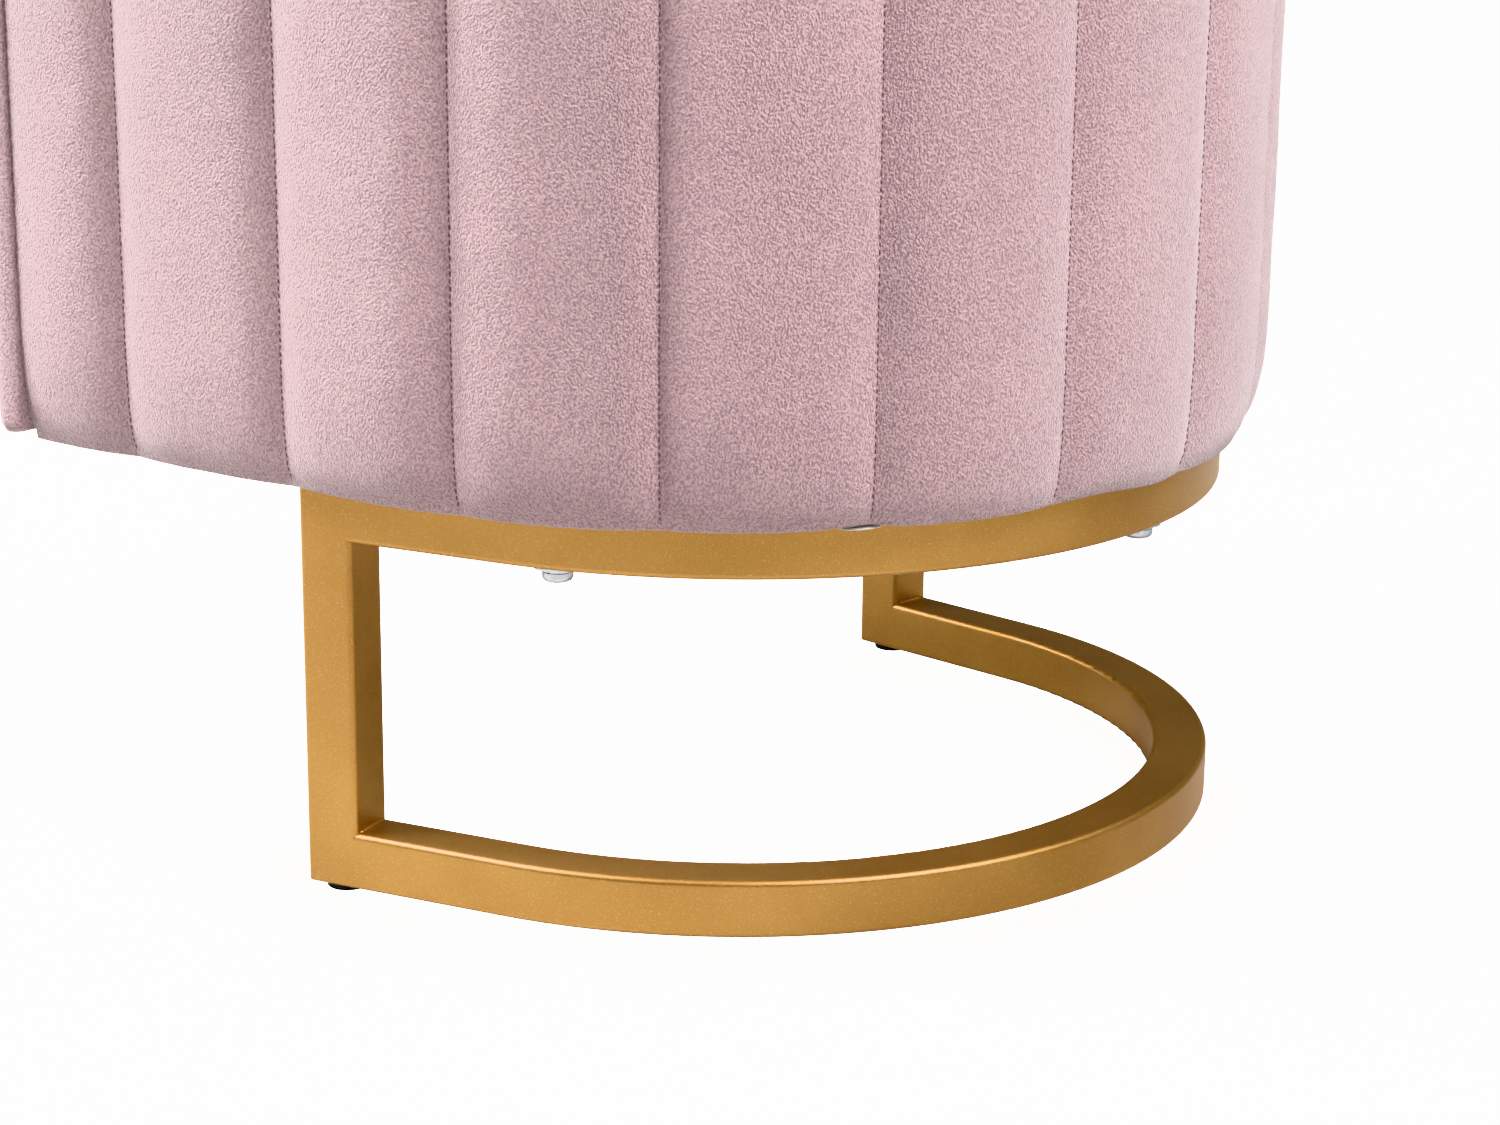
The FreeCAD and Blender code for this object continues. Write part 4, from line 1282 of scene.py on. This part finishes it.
def area_light(name, place, width, height, power):
    light = bpy.data.lights.new(name, "AREA")
    light.shape = "RECTANGLE"
    light.size = width
    light.size_y = height
    light.energy = power
    made = bpy.data.objects.new(name, light)
    made.location = place
    made.visible_camera = False
    made.rotation_euler = (Vector(LIGHTS_AIM) - Vector(place)).to_track_quat("-Z", "Y").to_euler()
    bpy.context.scene.collection.objects.link(made)


def make_lights():
    """A high key and a raking rim from the chair's front right, and a high fill from behind it."""
    area_light("key", (1.6, -1.7, 3.0), 0.6, 1.8, 200)
    area_light("rim", (1.0, -2.8, 1.9), 0.5, 1.6, 170)
    area_light("fill", (0.15, 2.3, 3.0), 1.4, 1.6, 235)


def make_camera():
    """Behind the chair's right side, a little above the seat and looking slightly down."""
    level = Vector((math.cos(CAMERA_YAW), math.sin(CAMERA_YAW), 0))
    ahead = level * math.cos(CAMERA_PITCH) + Vector((0, 0, math.sin(CAMERA_PITCH)))
    right = ahead.cross(Vector((0, 0, 1))).normalized()
    up = right.cross(ahead)
    camera_right = right * math.cos(CAMERA_ROLL) + up * math.sin(CAMERA_ROLL)
    camera_up = up * math.cos(CAMERA_ROLL) - right * math.sin(CAMERA_ROLL)
    data = bpy.data.cameras.new("camera")
    data.lens = CAMERA_LENS
    data.sensor_width = CAMERA_SENSOR
    camera = bpy.data.objects.new("camera", data)
    columns = (camera_right, camera_up, -ahead, CAMERA_PLACE)
    rows = [[column[axis] for column in columns] for axis in range(3)]
    camera.matrix_world = Matrix((*rows, (0, 0, 0, 1)))
    bpy.context.scene.collection.objects.link(camera)
    bpy.context.scene.camera = camera


def make_exposure():
    """Plain colours, with the brightest ones eased off instead of clipped."""
    bpy.context.scene.view_settings.view_transform = "Khronos PBR Neutral"


make_camera()
make_exposure()
make_world()
make_lights()
make_floor()
dress_frame()
make_outer_panel()
make_outer_stitches()
make_inner_panel()
make_inner_stitches()
make_inner_foam()
make_top_roll()
for arm, direction in (("arm_front_pad_right", 1), ("arm_front_pad_left", -1)):
    make_arm_front(arm, direction)
make_apron()
make_deck()
make_dust_cover()
make_deck_cover()
make_cushion()
make_welds()
